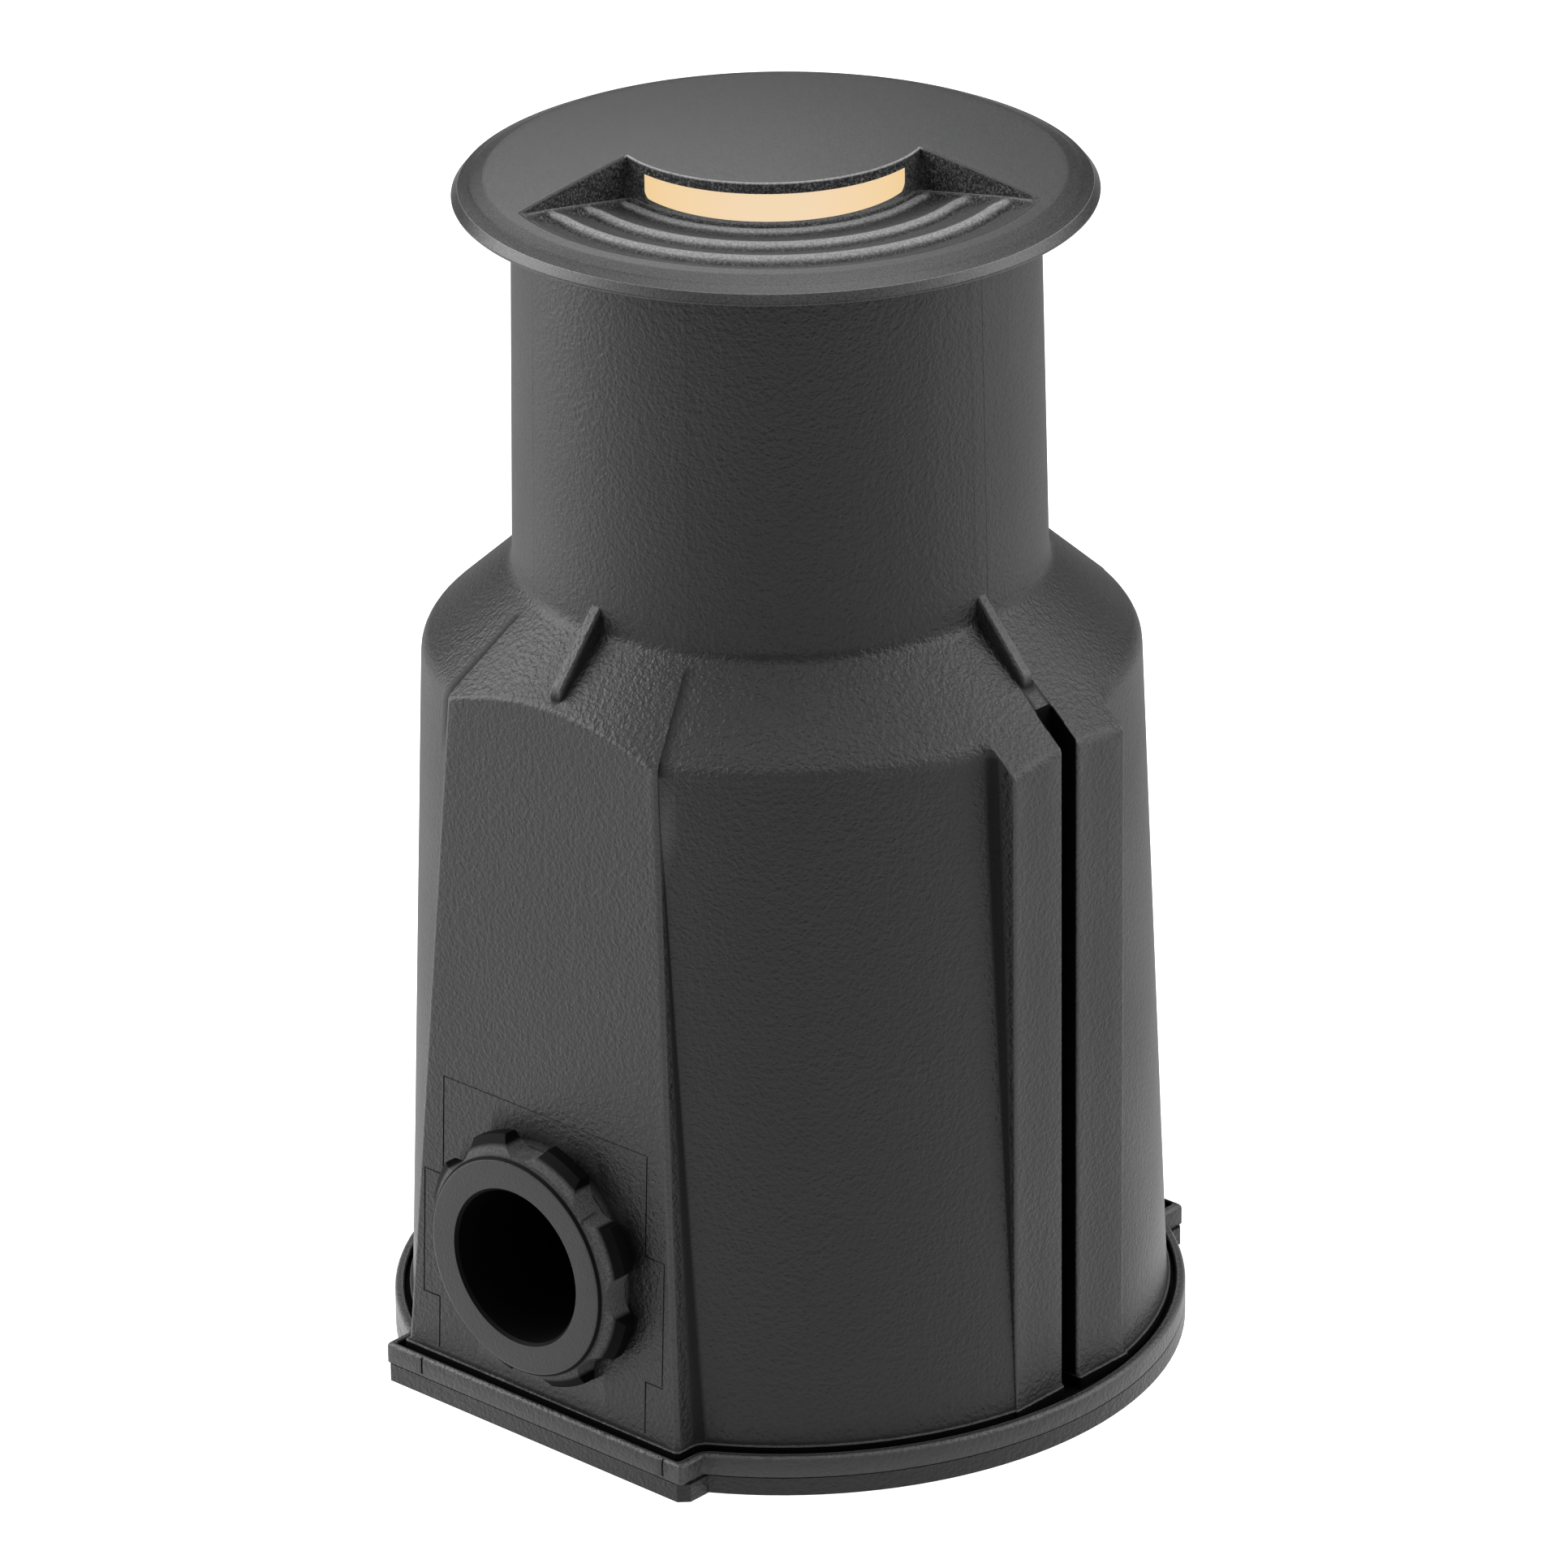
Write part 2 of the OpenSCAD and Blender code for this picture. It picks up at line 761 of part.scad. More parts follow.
module scoop_outline(inset) {
    difference() {
        polygon([
            [-scoop_corner_x + inset, scoop_corner_y], [-scoop_tip_x + inset, scoop_tip_y],
            [-scoop_tip_x + inset, far], [scoop_tip_x - inset, far],
            [scoop_tip_x - inset, scoop_tip_y], [scoop_corner_x - inset, scoop_corner_y]]);
        translate([0, -roof_back]) circle(r = roof_r);
    }
}

module scoop() {
    low = floor_back_z - 3;
    intersection() {
        translate([0, 0, low]) linear_extrude(crown_z + 2 - low) scoop_outline(0);
        crest_bowl();
    }
    intersection() {
        translate([0, 0, low]) linear_extrude(crown_z + 2 - low) scoop_outline(groove_end);
        grooved_bowl();
    }
}

// The window's opening runs from the lens out to the roof's arc, over the curb
module window_opening() {
    intersection() {
        translate([-window_half_w, -lens_back, curb_top - 0.5])
            cube([2 * window_half_w, far, roof_under - curb_top + 0.5]);
        translate([0, -roof_back, curb_top - 1])
            cylinder(r = curb_r + 0.5, h = roof_under - curb_top + 2);
    }
}

module curb() {
    intersection() {
        translate([0, -roof_back, boss_bottom + 0.5])
            cylinder(r = curb_r, h = curb_top - boss_bottom - 0.5);
        translate([-scoop_corner_x + 0.4, -lens_back, boss_bottom])
            cube([2 * (scoop_corner_x - 0.4), far, crown_z]);
    }
}

module lens_space(gap) {
    half = window_half_w + lens_lap + gap;
    intersection() {
        translate([0, -lens_back, 0]) cylinder(r = lens_r + gap, h = roof_under);
        translate([-half, -lens_back, boss_bottom - 1])
            cube([2 * half, far, roof_under - boss_bottom + 1]);
    }
}

module plate_profile() {
    ring_z = plate_bottom + ring_break_h;
    dome = [for (i = [0:dome_steps - 1]) let (r = dome_r * (1 - i / dome_steps))
        [r, dome_edge_z + (crown_z - dome_edge_z) * (1 - pow(r / dome_r, 2))]];
    polygon(concat([
        [0, boss_bottom], [skirt_r, boss_bottom], [skirt_r, plate_bottom],
        [plate_r - rim_low_edge, plate_bottom], [plate_r, plate_bottom + rim_low_edge],
        [plate_r - rim_side_in + rim_top_edge / 2, plate_bottom + rim_side_h - rim_top_edge],
        [plate_r - rim_side_in - rim_top_edge, plate_bottom + rim_side_h],
        [plate_r - ring_break_in, ring_z]], dome, [[0, dome[dome_steps - 1][1]]]));
}

module at_plate_screws(z) {
    for (place = plate_screw_places) translate([place[0], place[1], z]) children();
}

module faceplate() {
    color("#4a4a4a") aimed() difference() {
        union() {
            difference() {
                rotate_extrude() plate_profile();
                scoop();
                window_opening();
            }
            curb();
        }
        lens_space(turn_gap);
        at_plate_screws(boss_bottom - 1)
            cylinder(r = plate_screw_r + turn_gap, h = plate_screw_depth + 1.3);
    }
}

module lens_arc(inner_r, bottom, top) {
    half = window_half_w + lens_lap;
    intersection() {
        difference() {
            translate([0, -lens_back, bottom]) cylinder(r = lens_r, h = top - bottom);
            translate([0, -lens_back, bottom - 1]) cylinder(r = inner_r, h = top - bottom + 2);
        }
        translate([-half, -lens_back + 0.2, bottom]) cube([2 * half, far, top - bottom]);
    }
}

module window_lens() {
    color("#ffd9a0") aimed() lens_arc(lens_r - lens_t, lens_bottom, roof_under - turn_gap);
}

module lens_seal() {
    color("#202020") aimed() lens_arc(lens_r - lens_t - 0.5, boss_bottom, lens_bottom);
}

// Light source behind the window
module half_disc(r, z, t) {
    translate([0, -lens_back, z]) intersection() {
        cylinder(r = r, h = t);
        translate([-r, 0.2, -1]) cube([2 * r, r, t + 2]);
    }
}

module reflector() {
    top = roof_under - 0.2;
    color("#f2f2ee") aimed() intersection() {
        translate([0, -lens_back, 0]) rotate_extrude() polygon([
            [reflector_low_r, can_top], [reflector_low_r, boss_bottom],
            [reflector_top_r, top], [reflector_top_r - reflector_wall * 1.6, top],
            [reflector_low_r - reflector_wall, boss_bottom],
            [reflector_low_r - reflector_wall, can_top]]);
        translate([-far, -lens_back + 0.2, 0]) cube([2 * far, far, 2 * crown_z]);
    }
}

module led_board() {
    color("#e8efe8") aimed() half_disc(led_board_r, can_top - board_t, board_t);
}

module led_chips() {
    color("#f4d676") aimed() translate([0, -lens_back, can_top])
        for (i = [0:led_count - 1]) rotate((i - (led_count - 1) / 2) * led_pitch)
            translate([-led_size[0] / 2, led_arc_r - led_size[1] / 2, 0]) cube(led_size);
}

module led_leads() {
    color("#c8322c") aimed() for (side = [-1, 1])
        translate([side * lead_x, lead_y, driver_top])
            cylinder(r = lead_r, h = can_top - board_t - driver_top, $fn = 24);
}

module faceplate_gasket() {
    hole_r = lens_r - lens_t - 0.6;
    color("#202020") aimed() translate([0, 0, can_top]) difference() {
        cylinder(r = skirt_r - 0.6, h = plate_gasket_t);
        translate([0, 0, -can_top - 1]) half_disc(hole_r, can_top, plate_gasket_t + 2);
        at_plate_screws(-1) cylinder(r = plate_screw_hole_r, h = plate_gasket_t + 2);
    }
}

module faceplate_screws() {
    head_z = can_ceiling - plate_screw_head_t;
    color("#b8b8b8") aimed() at_plate_screws(head_z) difference() {
        union() {
            cylinder(r = plate_screw_head_r, h = plate_screw_head_t);
            cylinder(r = plate_screw_r, h = boss_bottom + plate_screw_depth - head_z);
        }
        cross_recess(plate_recess, plate_recess_depth);
    }
}

// Lamp body: skirt with two O-ring grooves, fins below, electronics bore inside
module at_posts(r) {
    for (i = [0:post_count - 1]) rotate(post_turn + i * 360 / post_count)
        translate([r, 0, 0]) children();
}

module fins() {
    step = 360 / fin_count;
    for (i = [0:fin_count - 1]) rotate(i * step)
        translate([core_r - 1, -fin_t / 2, can_bottom_z])
            cube([fin_r - core_r + 1, fin_t, skirt_bottom - can_bottom_z + 1]);
}

module standoffs() {
    for (turn = standoff_turns) rotate(turn)
        translate([standoff_centre_r, 0, driver_top])
            cylinder(r = standoff_r, h = can_ceiling - driver_top + 1);
}

module lamp_body() {
    hole_d = 2 * plate_screw_hole_r;
    color("#8f9294") aimed() difference() {
        union() {
            difference() {
                union() {
                    translate([0, 0, skirt_bottom]) cylinder(r = skirt_r, h = can_top - skirt_bottom);
                    translate([0, 0, can_bottom_z]) cylinder(r = core_r, h = can_top - can_bottom_z);
                    fins();
                    translate([0, 0, can_bottom_z]) at_posts(post_centre_r)
                        cylinder(r = post_r, h = skirt_bottom - can_bottom_z + 1);
                }
                translate([0, 0, can_bottom_z - 1])
                    cylinder(r = can_bore_r, h = can_ceiling - can_bottom_z + 1);
            }
            intersection() {
                standoffs();
                cylinder(r = can_bore_r + 1, h = can_top);
            }
        }
        for (z = [upper_ring_z, lower_ring_z]) translate([0, 0, z - ring_groove_w / 2])
            difference() {
                cylinder(r = skirt_r + 1, h = ring_groove_w);
                translate([0, 0, -1]) cylinder(r = ring_groove_r, h = ring_groove_w + 2);
            }
        half_disc(led_board_r + 0.1, can_top - board_t, board_t + 1);
        at_plate_screws(can_ceiling - 1) cylinder(d = hole_d, h = top_wall + 2);
        for (side = [-1, 1]) translate([side * lead_x, lead_y, can_ceiling - 1])
            cylinder(r = lead_r + 0.5, h = top_wall);
        for (turn = standoff_turns) rotate(turn)
            translate([standoff_centre_r, 0, driver_top - 1])
                cylinder(r = board_screw_r + turn_gap, h = board_screw_depth + 2);
        translate([0, 0, can_bottom_z - 1]) at_posts(post_centre_r)
            cylinder(r = cap_screw_r + turn_gap, h = cap_screw_depth + 2);
    }
}

// Electronics
module driver_board() {
    color("#1f6b3a") aimed() translate([0, 0, driver_z]) difference() {
        cylinder(r = driver_r, h = board_t);
        for (turn = standoff_turns) rotate(turn) translate([standoff_centre_r, 0, -1])
            cylinder(r = board_screw_r + 0.2, h = board_t + 2);
    }
}

module board_screws() {
    color("#b8b8b8") aimed() for (turn = standoff_turns) rotate(turn)
        translate([standoff_centre_r, 0, driver_z - board_screw_head_t]) difference() {
            union() {
                cylinder(r = board_screw_head_r, h = board_screw_head_t);
                cylinder(r = board_screw_r, h = board_screw_head_t + board_t + board_screw_depth);
            }
            cross_recess(board_recess, board_recess_depth);
        }
}

module bulk_capacitor() {
    r = capacitor_r;
    edge = capacitor_edge;
    bead_z = capacitor_bead_z;
    bead_h = capacitor_bead_h;
    color("#23262b") aimed() translate([capacitor_place[0], capacitor_place[1], driver_top])
        rotate_extrude() polygon([
            [0, 0], [r - edge, 0], [r, edge], [r, bead_z], [r - edge, bead_z + bead_h / 3],
            [r - edge, bead_z + bead_h * 2 / 3], [r, bead_z + bead_h],
            [r, capacitor_h - edge], [r - edge, capacitor_h], [0, capacitor_h]]);
}

module power_inductor() {
    color("#6e3b22") aimed() translate([inductor_place[0], inductor_place[1], driver_top]) {
        cylinder(r = inductor_r, h = inductor_flange_t);
        cylinder(r = inductor_core_r, h = inductor_h);
        translate([0, 0, inductor_h - inductor_flange_t])
            cylinder(r = inductor_r, h = inductor_flange_t);
    }
}

module bridge_rectifier() {
    color("#17181a") aimed() {
        translate([rectifier_place[0], rectifier_place[1], driver_top + rectifier_lift])
            cube(rectifier_size);
        for (x = rectifier_leg_x, y = rectifier_leg_y)
            translate([x, y, driver_top]) cube(rectifier_leg);
    }
}

module driver_chip() {
    color("#17181a") aimed() {
        translate([chip_place[0], chip_place[1], driver_top + chip_lift]) cube(chip_size);
        for (i = [0:3], y = chip_leg_y)
            translate([chip_place[0] + chip_leg[0] / 2 + i * chip_pitch, y, driver_top])
                cube(chip_leg);
    }
}

module potting() {
    color("#15161a") translate([0, 0, potting_bottom])
        cylinder(r = can_bore_r - turn_gap, h = potting_top - potting_bottom);
}

// Bottom cap and cable gland
module cap_outline(hole_r) {
    difference() {
        union() {
            circle(r = core_r);
            at_posts_flat() circle(r = post_r);
        }
        at_posts_flat() circle(r = hole_r);
    }
}

module at_posts_flat() {
    for (i = [0:post_count - 1]) rotate(post_turn + i * 360 / post_count)
        translate([post_centre_r, 0]) children();
}

module cap_seal() {
    color("#202020") aimed() translate([0, 0, cap_top]) linear_extrude(seal_t) difference() {
        cap_outline(cap_screw_r + 0.2);
        circle(r = can_bore_r);
    }
}

module bottom_cap() {
    color("#3a3a3a") aimed() difference() {
        union() {
            translate([0, 0, cap_bottom]) linear_extrude(cap_t) cap_outline(cap_screw_r + 0.2);
            translate([0, 0, cap_top]) cylinder(r = can_bore_r - 0.2, h = spigot_h);
        }
        translate([0, 0, cap_top]) cylinder(r = can_bore_r - 2.2, h = spigot_h + 1);
        translate([0, 0, cap_bottom - 1]) cylinder(r = gland_r + turn_gap, h = cap_t + spigot_h + 2);
    }
}

module cap_screws() {
    color("#b8b8b8") aimed() translate([0, 0, cap_bottom - cap_screw_head_t])
        at_posts(post_centre_r) difference() {
            union() {
                cylinder(r = cap_screw_head_r, h = cap_screw_head_t);
                cylinder(r = cap_screw_r,
                         h = cap_screw_head_t + cap_t + seal_t + cap_screw_depth);
            }
            cross_recess(cap_recess, cap_recess_depth);
        }
}

module cable_gland() {
    color("#2b2b2b") difference() {
        union() {
            translate([0, 0, cap_bottom - gland_hex_t])
                cylinder(r = gland_hex_r, h = gland_hex_t, $fn = 6);
            translate([0, 0, cap_bottom - gland_hex_t])
                cylinder(r = gland_r, h = gland_hex_t + cap_t + locknut_t + 1.2);
            translate([0, 0, cap_bottom - gland_hex_t - gland_dome_h]) rotate_extrude() polygon([
                [0, 0], [gland_nose_r, 0], [gland_nose_r + 1.3, 1.4], [gland_dome_r - 0.4, 4.6],
                [gland_dome_r, 6.4], [gland_dome_r, gland_dome_h],
                [0, gland_dome_h]]);
        }
        translate([0, 0, cap_bottom - gland_hex_t - gland_dome_h - 1])
            cylinder(r = gland_bore_r, h = gland_hex_t + gland_dome_h + cap_t + locknut_t + 4);
    }
}

module gland_locknut() {
    color("#2b2b2b") translate([0, 0, cap_top]) difference() {
        cylinder(r = locknut_r, h = locknut_t, $fn = 6);
        translate([0, 0, -1]) cylinder(r = gland_r + turn_gap, h = locknut_t + 2);
    }
}

housing();
base_cover();
base_gasket();
base_screws();
rim_gasket();
front_bushing();
front_washer();
rear_bushing();
rear_washer();
upper_o_ring();
lower_o_ring();
faceplate();
window_lens();
lens_seal();
reflector();
faceplate_gasket();
faceplate_screws();
lamp_body();
led_board();
led_chips();
led_leads();
driver_board();
board_screws();
bulk_capacitor();
power_inductor();
bridge_rectifier();
driver_chip();
potting();
cap_seal();
bottom_cap();
cap_screws();
cable_gland();
gland_locknut();
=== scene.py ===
import json
import math

import bmesh
import bpy
from mathutils import Matrix, Vector


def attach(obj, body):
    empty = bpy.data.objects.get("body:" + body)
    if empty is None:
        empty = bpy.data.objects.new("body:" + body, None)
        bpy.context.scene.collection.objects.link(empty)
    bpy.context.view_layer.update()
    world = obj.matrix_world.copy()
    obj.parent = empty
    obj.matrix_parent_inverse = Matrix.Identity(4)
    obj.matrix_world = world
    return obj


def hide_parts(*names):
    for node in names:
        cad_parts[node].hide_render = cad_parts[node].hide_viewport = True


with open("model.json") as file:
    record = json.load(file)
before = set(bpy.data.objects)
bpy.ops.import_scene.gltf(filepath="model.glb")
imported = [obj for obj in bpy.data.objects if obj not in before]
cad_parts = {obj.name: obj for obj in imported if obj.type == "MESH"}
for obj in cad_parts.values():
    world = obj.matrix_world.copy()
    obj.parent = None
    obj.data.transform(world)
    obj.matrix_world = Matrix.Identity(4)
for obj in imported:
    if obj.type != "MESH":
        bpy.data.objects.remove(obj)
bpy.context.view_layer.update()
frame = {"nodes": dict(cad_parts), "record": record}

MM = 0.001

# Camera, at the photograph's viewing angle
VIEW_AZIMUTH = math.radians(42.642)
VIEW_ELEVATION = math.radians(23.943)
VIEW_ROLL = math.radians(-0.758)
VIEW_DISTANCE = 1186.42 * MM
VIEW_HEIGHT = 86.906 * MM
VIEW_RIGHT = 0.2006 * MM
VIEW_UP = -11.428 * MM
SENSOR_WIDTH = 36
LENS = 216.27

# The light comes out of the faceplate in this direction, turned from +Y
AIM = math.radians(-135)


def make_camera():
    a, e = VIEW_AZIMUTH, VIEW_ELEVATION
    back = Vector((math.sin(a) * math.cos(e), -math.cos(a) * math.cos(e), math.sin(e)))
    level_right = Vector((math.cos(a), math.sin(a), 0))
    level_up = back.cross(level_right)
    right = level_right * math.cos(VIEW_ROLL) + level_up * math.sin(VIEW_ROLL)
    up = level_up * math.cos(VIEW_ROLL) - level_right * math.sin(VIEW_ROLL)
    place = Vector((0, 0, VIEW_HEIGHT)) + right * VIEW_RIGHT + up * VIEW_UP + back * VIEW_DISTANCE
    data = bpy.data.cameras.new("camera")
    data.sensor_width = SENSOR_WIDTH
    data.lens = LENS
    data.clip_start = 0.05
    data.clip_end = 20
    camera = bpy.data.objects.new("camera", data)
    turn = Matrix((right, up, back)).transposed().to_4x4()
    camera.matrix_world = Matrix.Translation(place) @ turn
    bpy.context.scene.collection.objects.link(camera)
    bpy.context.scene.camera = camera


# Materials
def node_of(tree, kind, **values):
    node = tree.nodes.new(kind)
    for name, value in values.items():
        setattr(node, name, value)
    return node


def new_material(name, colour, roughness, metallic=0.0, specular=0.5):
    material = bpy.data.materials.new(name)
    material.use_nodes = True
    shader = material.node_tree.nodes["Principled BSDF"]
    shader.inputs["Base Color"].default_value = (*colour, 1)
    shader.inputs["Roughness"].default_value = roughness
    shader.inputs["Metallic"].default_value = metallic
    shader.inputs["Specular IOR Level"].default_value = specular
    return material, material.node_tree, shader


def place_in(tree, space="Object"):
    return node_of(tree, "ShaderNodeTexCoord").outputs[space]


def object_noise(tree, scale, detail=2.0, roughness=0.5, kind="ShaderNodeTexNoise"):
    noise = node_of(tree, kind)
    noise.inputs["Scale"].default_value = scale
    if "Detail" in noise.inputs:
        noise.inputs["Detail"].default_value = detail
        noise.inputs["Roughness"].default_value = roughness
    tree.links.new(place_in(tree), noise.inputs["Vector"])
    return noise


def axis_of(tree, vector, axis):
    split = node_of(tree, "ShaderNodeSeparateXYZ")
    tree.links.new(vector, split.inputs["Vector"])
    return split.outputs[axis]


def calculated(tree, operation, first, second=0.0):
    node = node_of(tree, "ShaderNodeMath", operation=operation)
    filled(tree, node, (0, first), (1, second))
    return node.outputs["Value"]


def filled(tree, node, *entries):
    """Each entry is a socket and its number, colour or link."""
    for socket, value in entries:
        if isinstance(value, (float, tuple)):
            node.inputs[socket].default_value = value
        else:
            tree.links.new(value, node.inputs[socket])


def product(tree, first, second):
    return calculated(tree, "MULTIPLY", first, second)


def added(tree, first, second):
    return calculated(tree, "ADD", first, second)


def mixed_number(tree, factor, first, second):
    mix = node_of(tree, "ShaderNodeMix", data_type="FLOAT")
    filled(tree, mix, ("Factor", factor), ("A", first), ("B", second))
    return mix.outputs["Result"]


def colour_mix(tree, factor, first, second):
    mix = node_of(tree, "ShaderNodeMix", data_type="RGBA")
    ends = [(*value, 1) if isinstance(value, tuple) else value for value in (first, second)]
    filled(tree, mix, ("Factor", factor), ("A", ends[0]), ("B", ends[1]))
    return mix.outputs["Result"]


def grey(value):
    return value, value, value


def painted_value(tree, name):
    return node_of(tree, "ShaderNodeAttribute", attribute_name=name).outputs["Fac"]


def towards(tree, direction, way):
    """How far a direction points the given way, from -1 to 1."""
    dot = node_of(tree, "ShaderNodeVectorMath", operation="DOT_PRODUCT")
    filled(tree, dot, (0, direction), (1, way))
    return dot.outputs["Value"]


def ramp(tree, source, low, high, low_value, high_value):
    """A number that follows source from low to high."""
    spread = node_of(tree, "ShaderNodeMapRange")
    spread.inputs["From Min"].default_value = low
    spread.inputs["From Max"].default_value = high
    spread.inputs["To Min"].default_value = low_value
    spread.inputs["To Max"].default_value = high_value
    tree.links.new(source, spread.inputs["Value"])
    return spread.outputs["Result"]


def relief(tree, shader, layers):
    """Bump in millimetres: each layer is a height output and its depth."""
    normal = None
    for height, depth in layers:
        bump = node_of(tree, "ShaderNodeBump")
        bump.inputs["Strength"].default_value = 1.0
        bump.inputs["Distance"].default_value = depth * MM
        tree.links.new(height, bump.inputs["Height"])
        if normal is not None:
            tree.links.new(normal, bump.inputs["Normal"])
        normal = bump.outputs["Normal"]
    tree.links.new(normal, shader.inputs["Normal"])


def grained_plastic(name, colour, roughness, grain_size, grain_depth, specular=0.5):
    """Moulded plastic with a fine leather grain and slight clouds in its gloss."""
    material, tree, shader = new_material(name, colour, roughness, specular=specular)
    cells = object_noise(tree, 1 / (grain_size * MM), kind="ShaderNodeTexVoronoi")
    cells.feature = "SMOOTH_F1"
    fine = object_noise(tree, 1.6 / (grain_size * MM), 3, 0.6)
    waves = object_noise(tree, 60, 1)
    relief(tree, shader, [(waves.outputs["Fac"], 0.1), (cells.outputs["Distance"], grain_depth),
                          (fine.outputs["Fac"], grain_depth * 0.8)])
    clouds = object_noise(tree, 45, 3)
    gloss = ramp(tree, clouds.outputs["Fac"], 0.3, 0.7, roughness - 0.04, roughness + 0.05)
    # Painted shade: corners, slots and the foot's groove go near-black and rough
    painted_shade = painted_value(tree, "painted_shade")
    tree.links.new(mixed_number(tree, painted_shade, gloss, 0.9), shader.inputs["Roughness"])
    speckle = object_noise(tree, 700, 2)
    skin = colour_mix(tree, speckle.outputs["Fac"], tuple(0.8 * c for c in colour),
                      tuple(1.2 * c for c in colour))
    # Painted highlight: convex edges go paler
    painted_highlight_and_pale = colour_mix(tree, painted_value(tree, "edge"), skin, grey(0.05))
    tree.links.new(colour_mix(tree, painted_shade, painted_highlight_and_pale, grey(0.0005)), shader.inputs["Base Color"])
    return material


def coated_casting():
    """Sand-fine coating on the dome, rough cast skin in the scoop with painted glints on its walls,
    painted highlights on the crests, edges and rim line, and a paler curb and ridge.
    """
    material, tree, shader = new_material("coated_casting", grey(0.028), 0.27, specular=0.45)
    recess = painted_value(tree, "recess")
    painted_highlight_and_pale = painted_value(tree, "painted_highlight_and_pale")
    sand = object_noise(tree, 1 / (0.26 * MM), 3, 0.6)
    cast = object_noise(tree, 1 / (0.8 * MM), 6, 0.66)
    lean = axis_of(tree, node_of(tree, "ShaderNodeNewGeometry").outputs["Normal"], "Z")
    rough = product(tree, recess, ramp(tree, lean, 0.3, 0.9, 1.0, 0.25))
    cast_height = product(tree, cast.outputs["Fac"], rough)
    relief(tree, shader, [(sand.outputs["Fac"], 0.035), (cast_height, 2.2)])
    specks = object_noise(tree, 1 / (0.3 * MM), 2)
    speck = ramp(tree, specks.outputs["Fac"], 0.35, 0.65, 0.0, 1.0)
    dome = colour_mix(tree, speck, grey(0.012), grey(0.038))
    base = colour_mix(tree, recess, dome, grey(0.004))
    # Painted glints: pale flecks on the scoop's steep rough walls stand in for light caught by the
    # cast grain
    flecks = object_noise(tree, 1 / (0.32 * MM), 5, 0.75)
    painted_glint = product(tree, ramp(tree, flecks.outputs["Fac"], 0.48, 0.72, 0.0, 1.0), rough)
    skin = colour_mix(tree, painted_glint, base, grey(0.5))
    streak = ramp(tree, flecks.outputs["Fac"], 0.35, 0.6, 0.35, 1.0)
    # Painted highlight on the crests, edges and rim line, streaked; the curb and the ridge paler
    # too
    tree.links.new(colour_mix(tree, product(tree, painted_highlight_and_pale, streak), skin, grey(0.5)),
                   shader.inputs["Base Color"])
    tree.links.new(ramp(tree, recess, 0, 1, 0.27, 0.55), shader.inputs["Roughness"])
    return material


def bushing_side():
    """Dull black sides of the head and bore, with a painted highlight where the fluted part meets
    the ring.
    """
    material, tree, shader = new_material("bushing_side", grey(0.002), 0.6, specular=0.06)
    flat = node_of(tree, "ShaderNodeVectorMath", operation="MULTIPLY")
    filled(tree, flat, (0, place_in(tree)), (1, (1, 0, 1)))
    reach = node_of(tree, "ShaderNodeVectorMath", operation="DISTANCE")
    filled(tree, reach, (0, flat.outputs["Vector"]), (1, (0, 0, ENTRY_Z * MM)))
    inside = ramp(tree, reach.outputs["Value"], 14.6 * MM, 14.7 * MM, 0, 1)
    outside = ramp(tree, reach.outputs["Value"], 15.4 * MM, 15.9 * MM, 1, 0)
    grain = object_noise(tree, 1 / (0.3 * MM), 3)
    shine = ramp(tree, grain.outputs["Fac"], 0.3, 0.7, 0.5, 1.0)
    # Painted highlight: a pale, grained ring where the fluted part meets the ring
    foot = product(tree, product(tree, inside, outside), shine)
    tree.links.new(colour_mix(tree, foot, grey(0.002), grey(0.11)), shader.inputs["Base Color"])
    return material


def plain_finish(name, colour, roughness, metallic=0.0, grain=0.2, depth=0.01, specular=0.5):
    """A finish with fine grain of its own size and slight changes of colour and gloss."""
    material, tree, shader = new_material(name, colour, roughness, metallic, specular)
    fine = object_noise(tree, 1 / (grain * MM), 3, 0.55)
    relief(tree, shader, [(fine.outputs["Fac"], depth)])
    clouds = object_noise(tree, 120, 3)
    dark, light = [tuple(min(1, c * share) for c in colour) for share in (0.85, 1.15)]
    colours = colour_mix(tree, clouds.outputs["Fac"], dark, light)
    tree.links.new(colours, shader.inputs["Base Color"])
    gloss = ramp(tree, clouds.outputs["Fac"], 0.3, 0.7, roughness * 0.9, roughness * 1.1)
    tree.links.new(gloss, shader.inputs["Roughness"])
    return material


def glowing_lens():
    """Frosted, warm and evenly lit, a little deeper in colour at its two ends."""
    material, tree, shader = new_material("frosted_lens", (0.9, 0.78, 0.6), 0.5)
    turn = node_of(tree, "ShaderNodeMapping", vector_type="POINT")
    filled(tree, turn, ("Vector", place_in(tree)), ("Rotation", (0, 0, -AIM)))
    side = calculated(tree, "ABSOLUTE", axis_of(tree, turn.outputs["Vector"], "X"))
    reach = ramp(tree, side, 4 * MM, 17 * MM, 0, 1)
    warm = colour_mix(tree, reach, (0.93, 0.71, 0.47), (0.93, 0.66, 0.34))
    path = node_of(tree, "ShaderNodeLightPath")
    glow = colour_mix(tree, path.outputs["Is Camera Ray"], grey(0.3), warm)
    tree.links.new(glow, shader.inputs["Emission Color"])
    shader.inputs["Emission Strength"].default_value = 0.95
    shader.inputs["Base Color"].default_value = (0.05, 0.04, 0.03, 1)
    return material


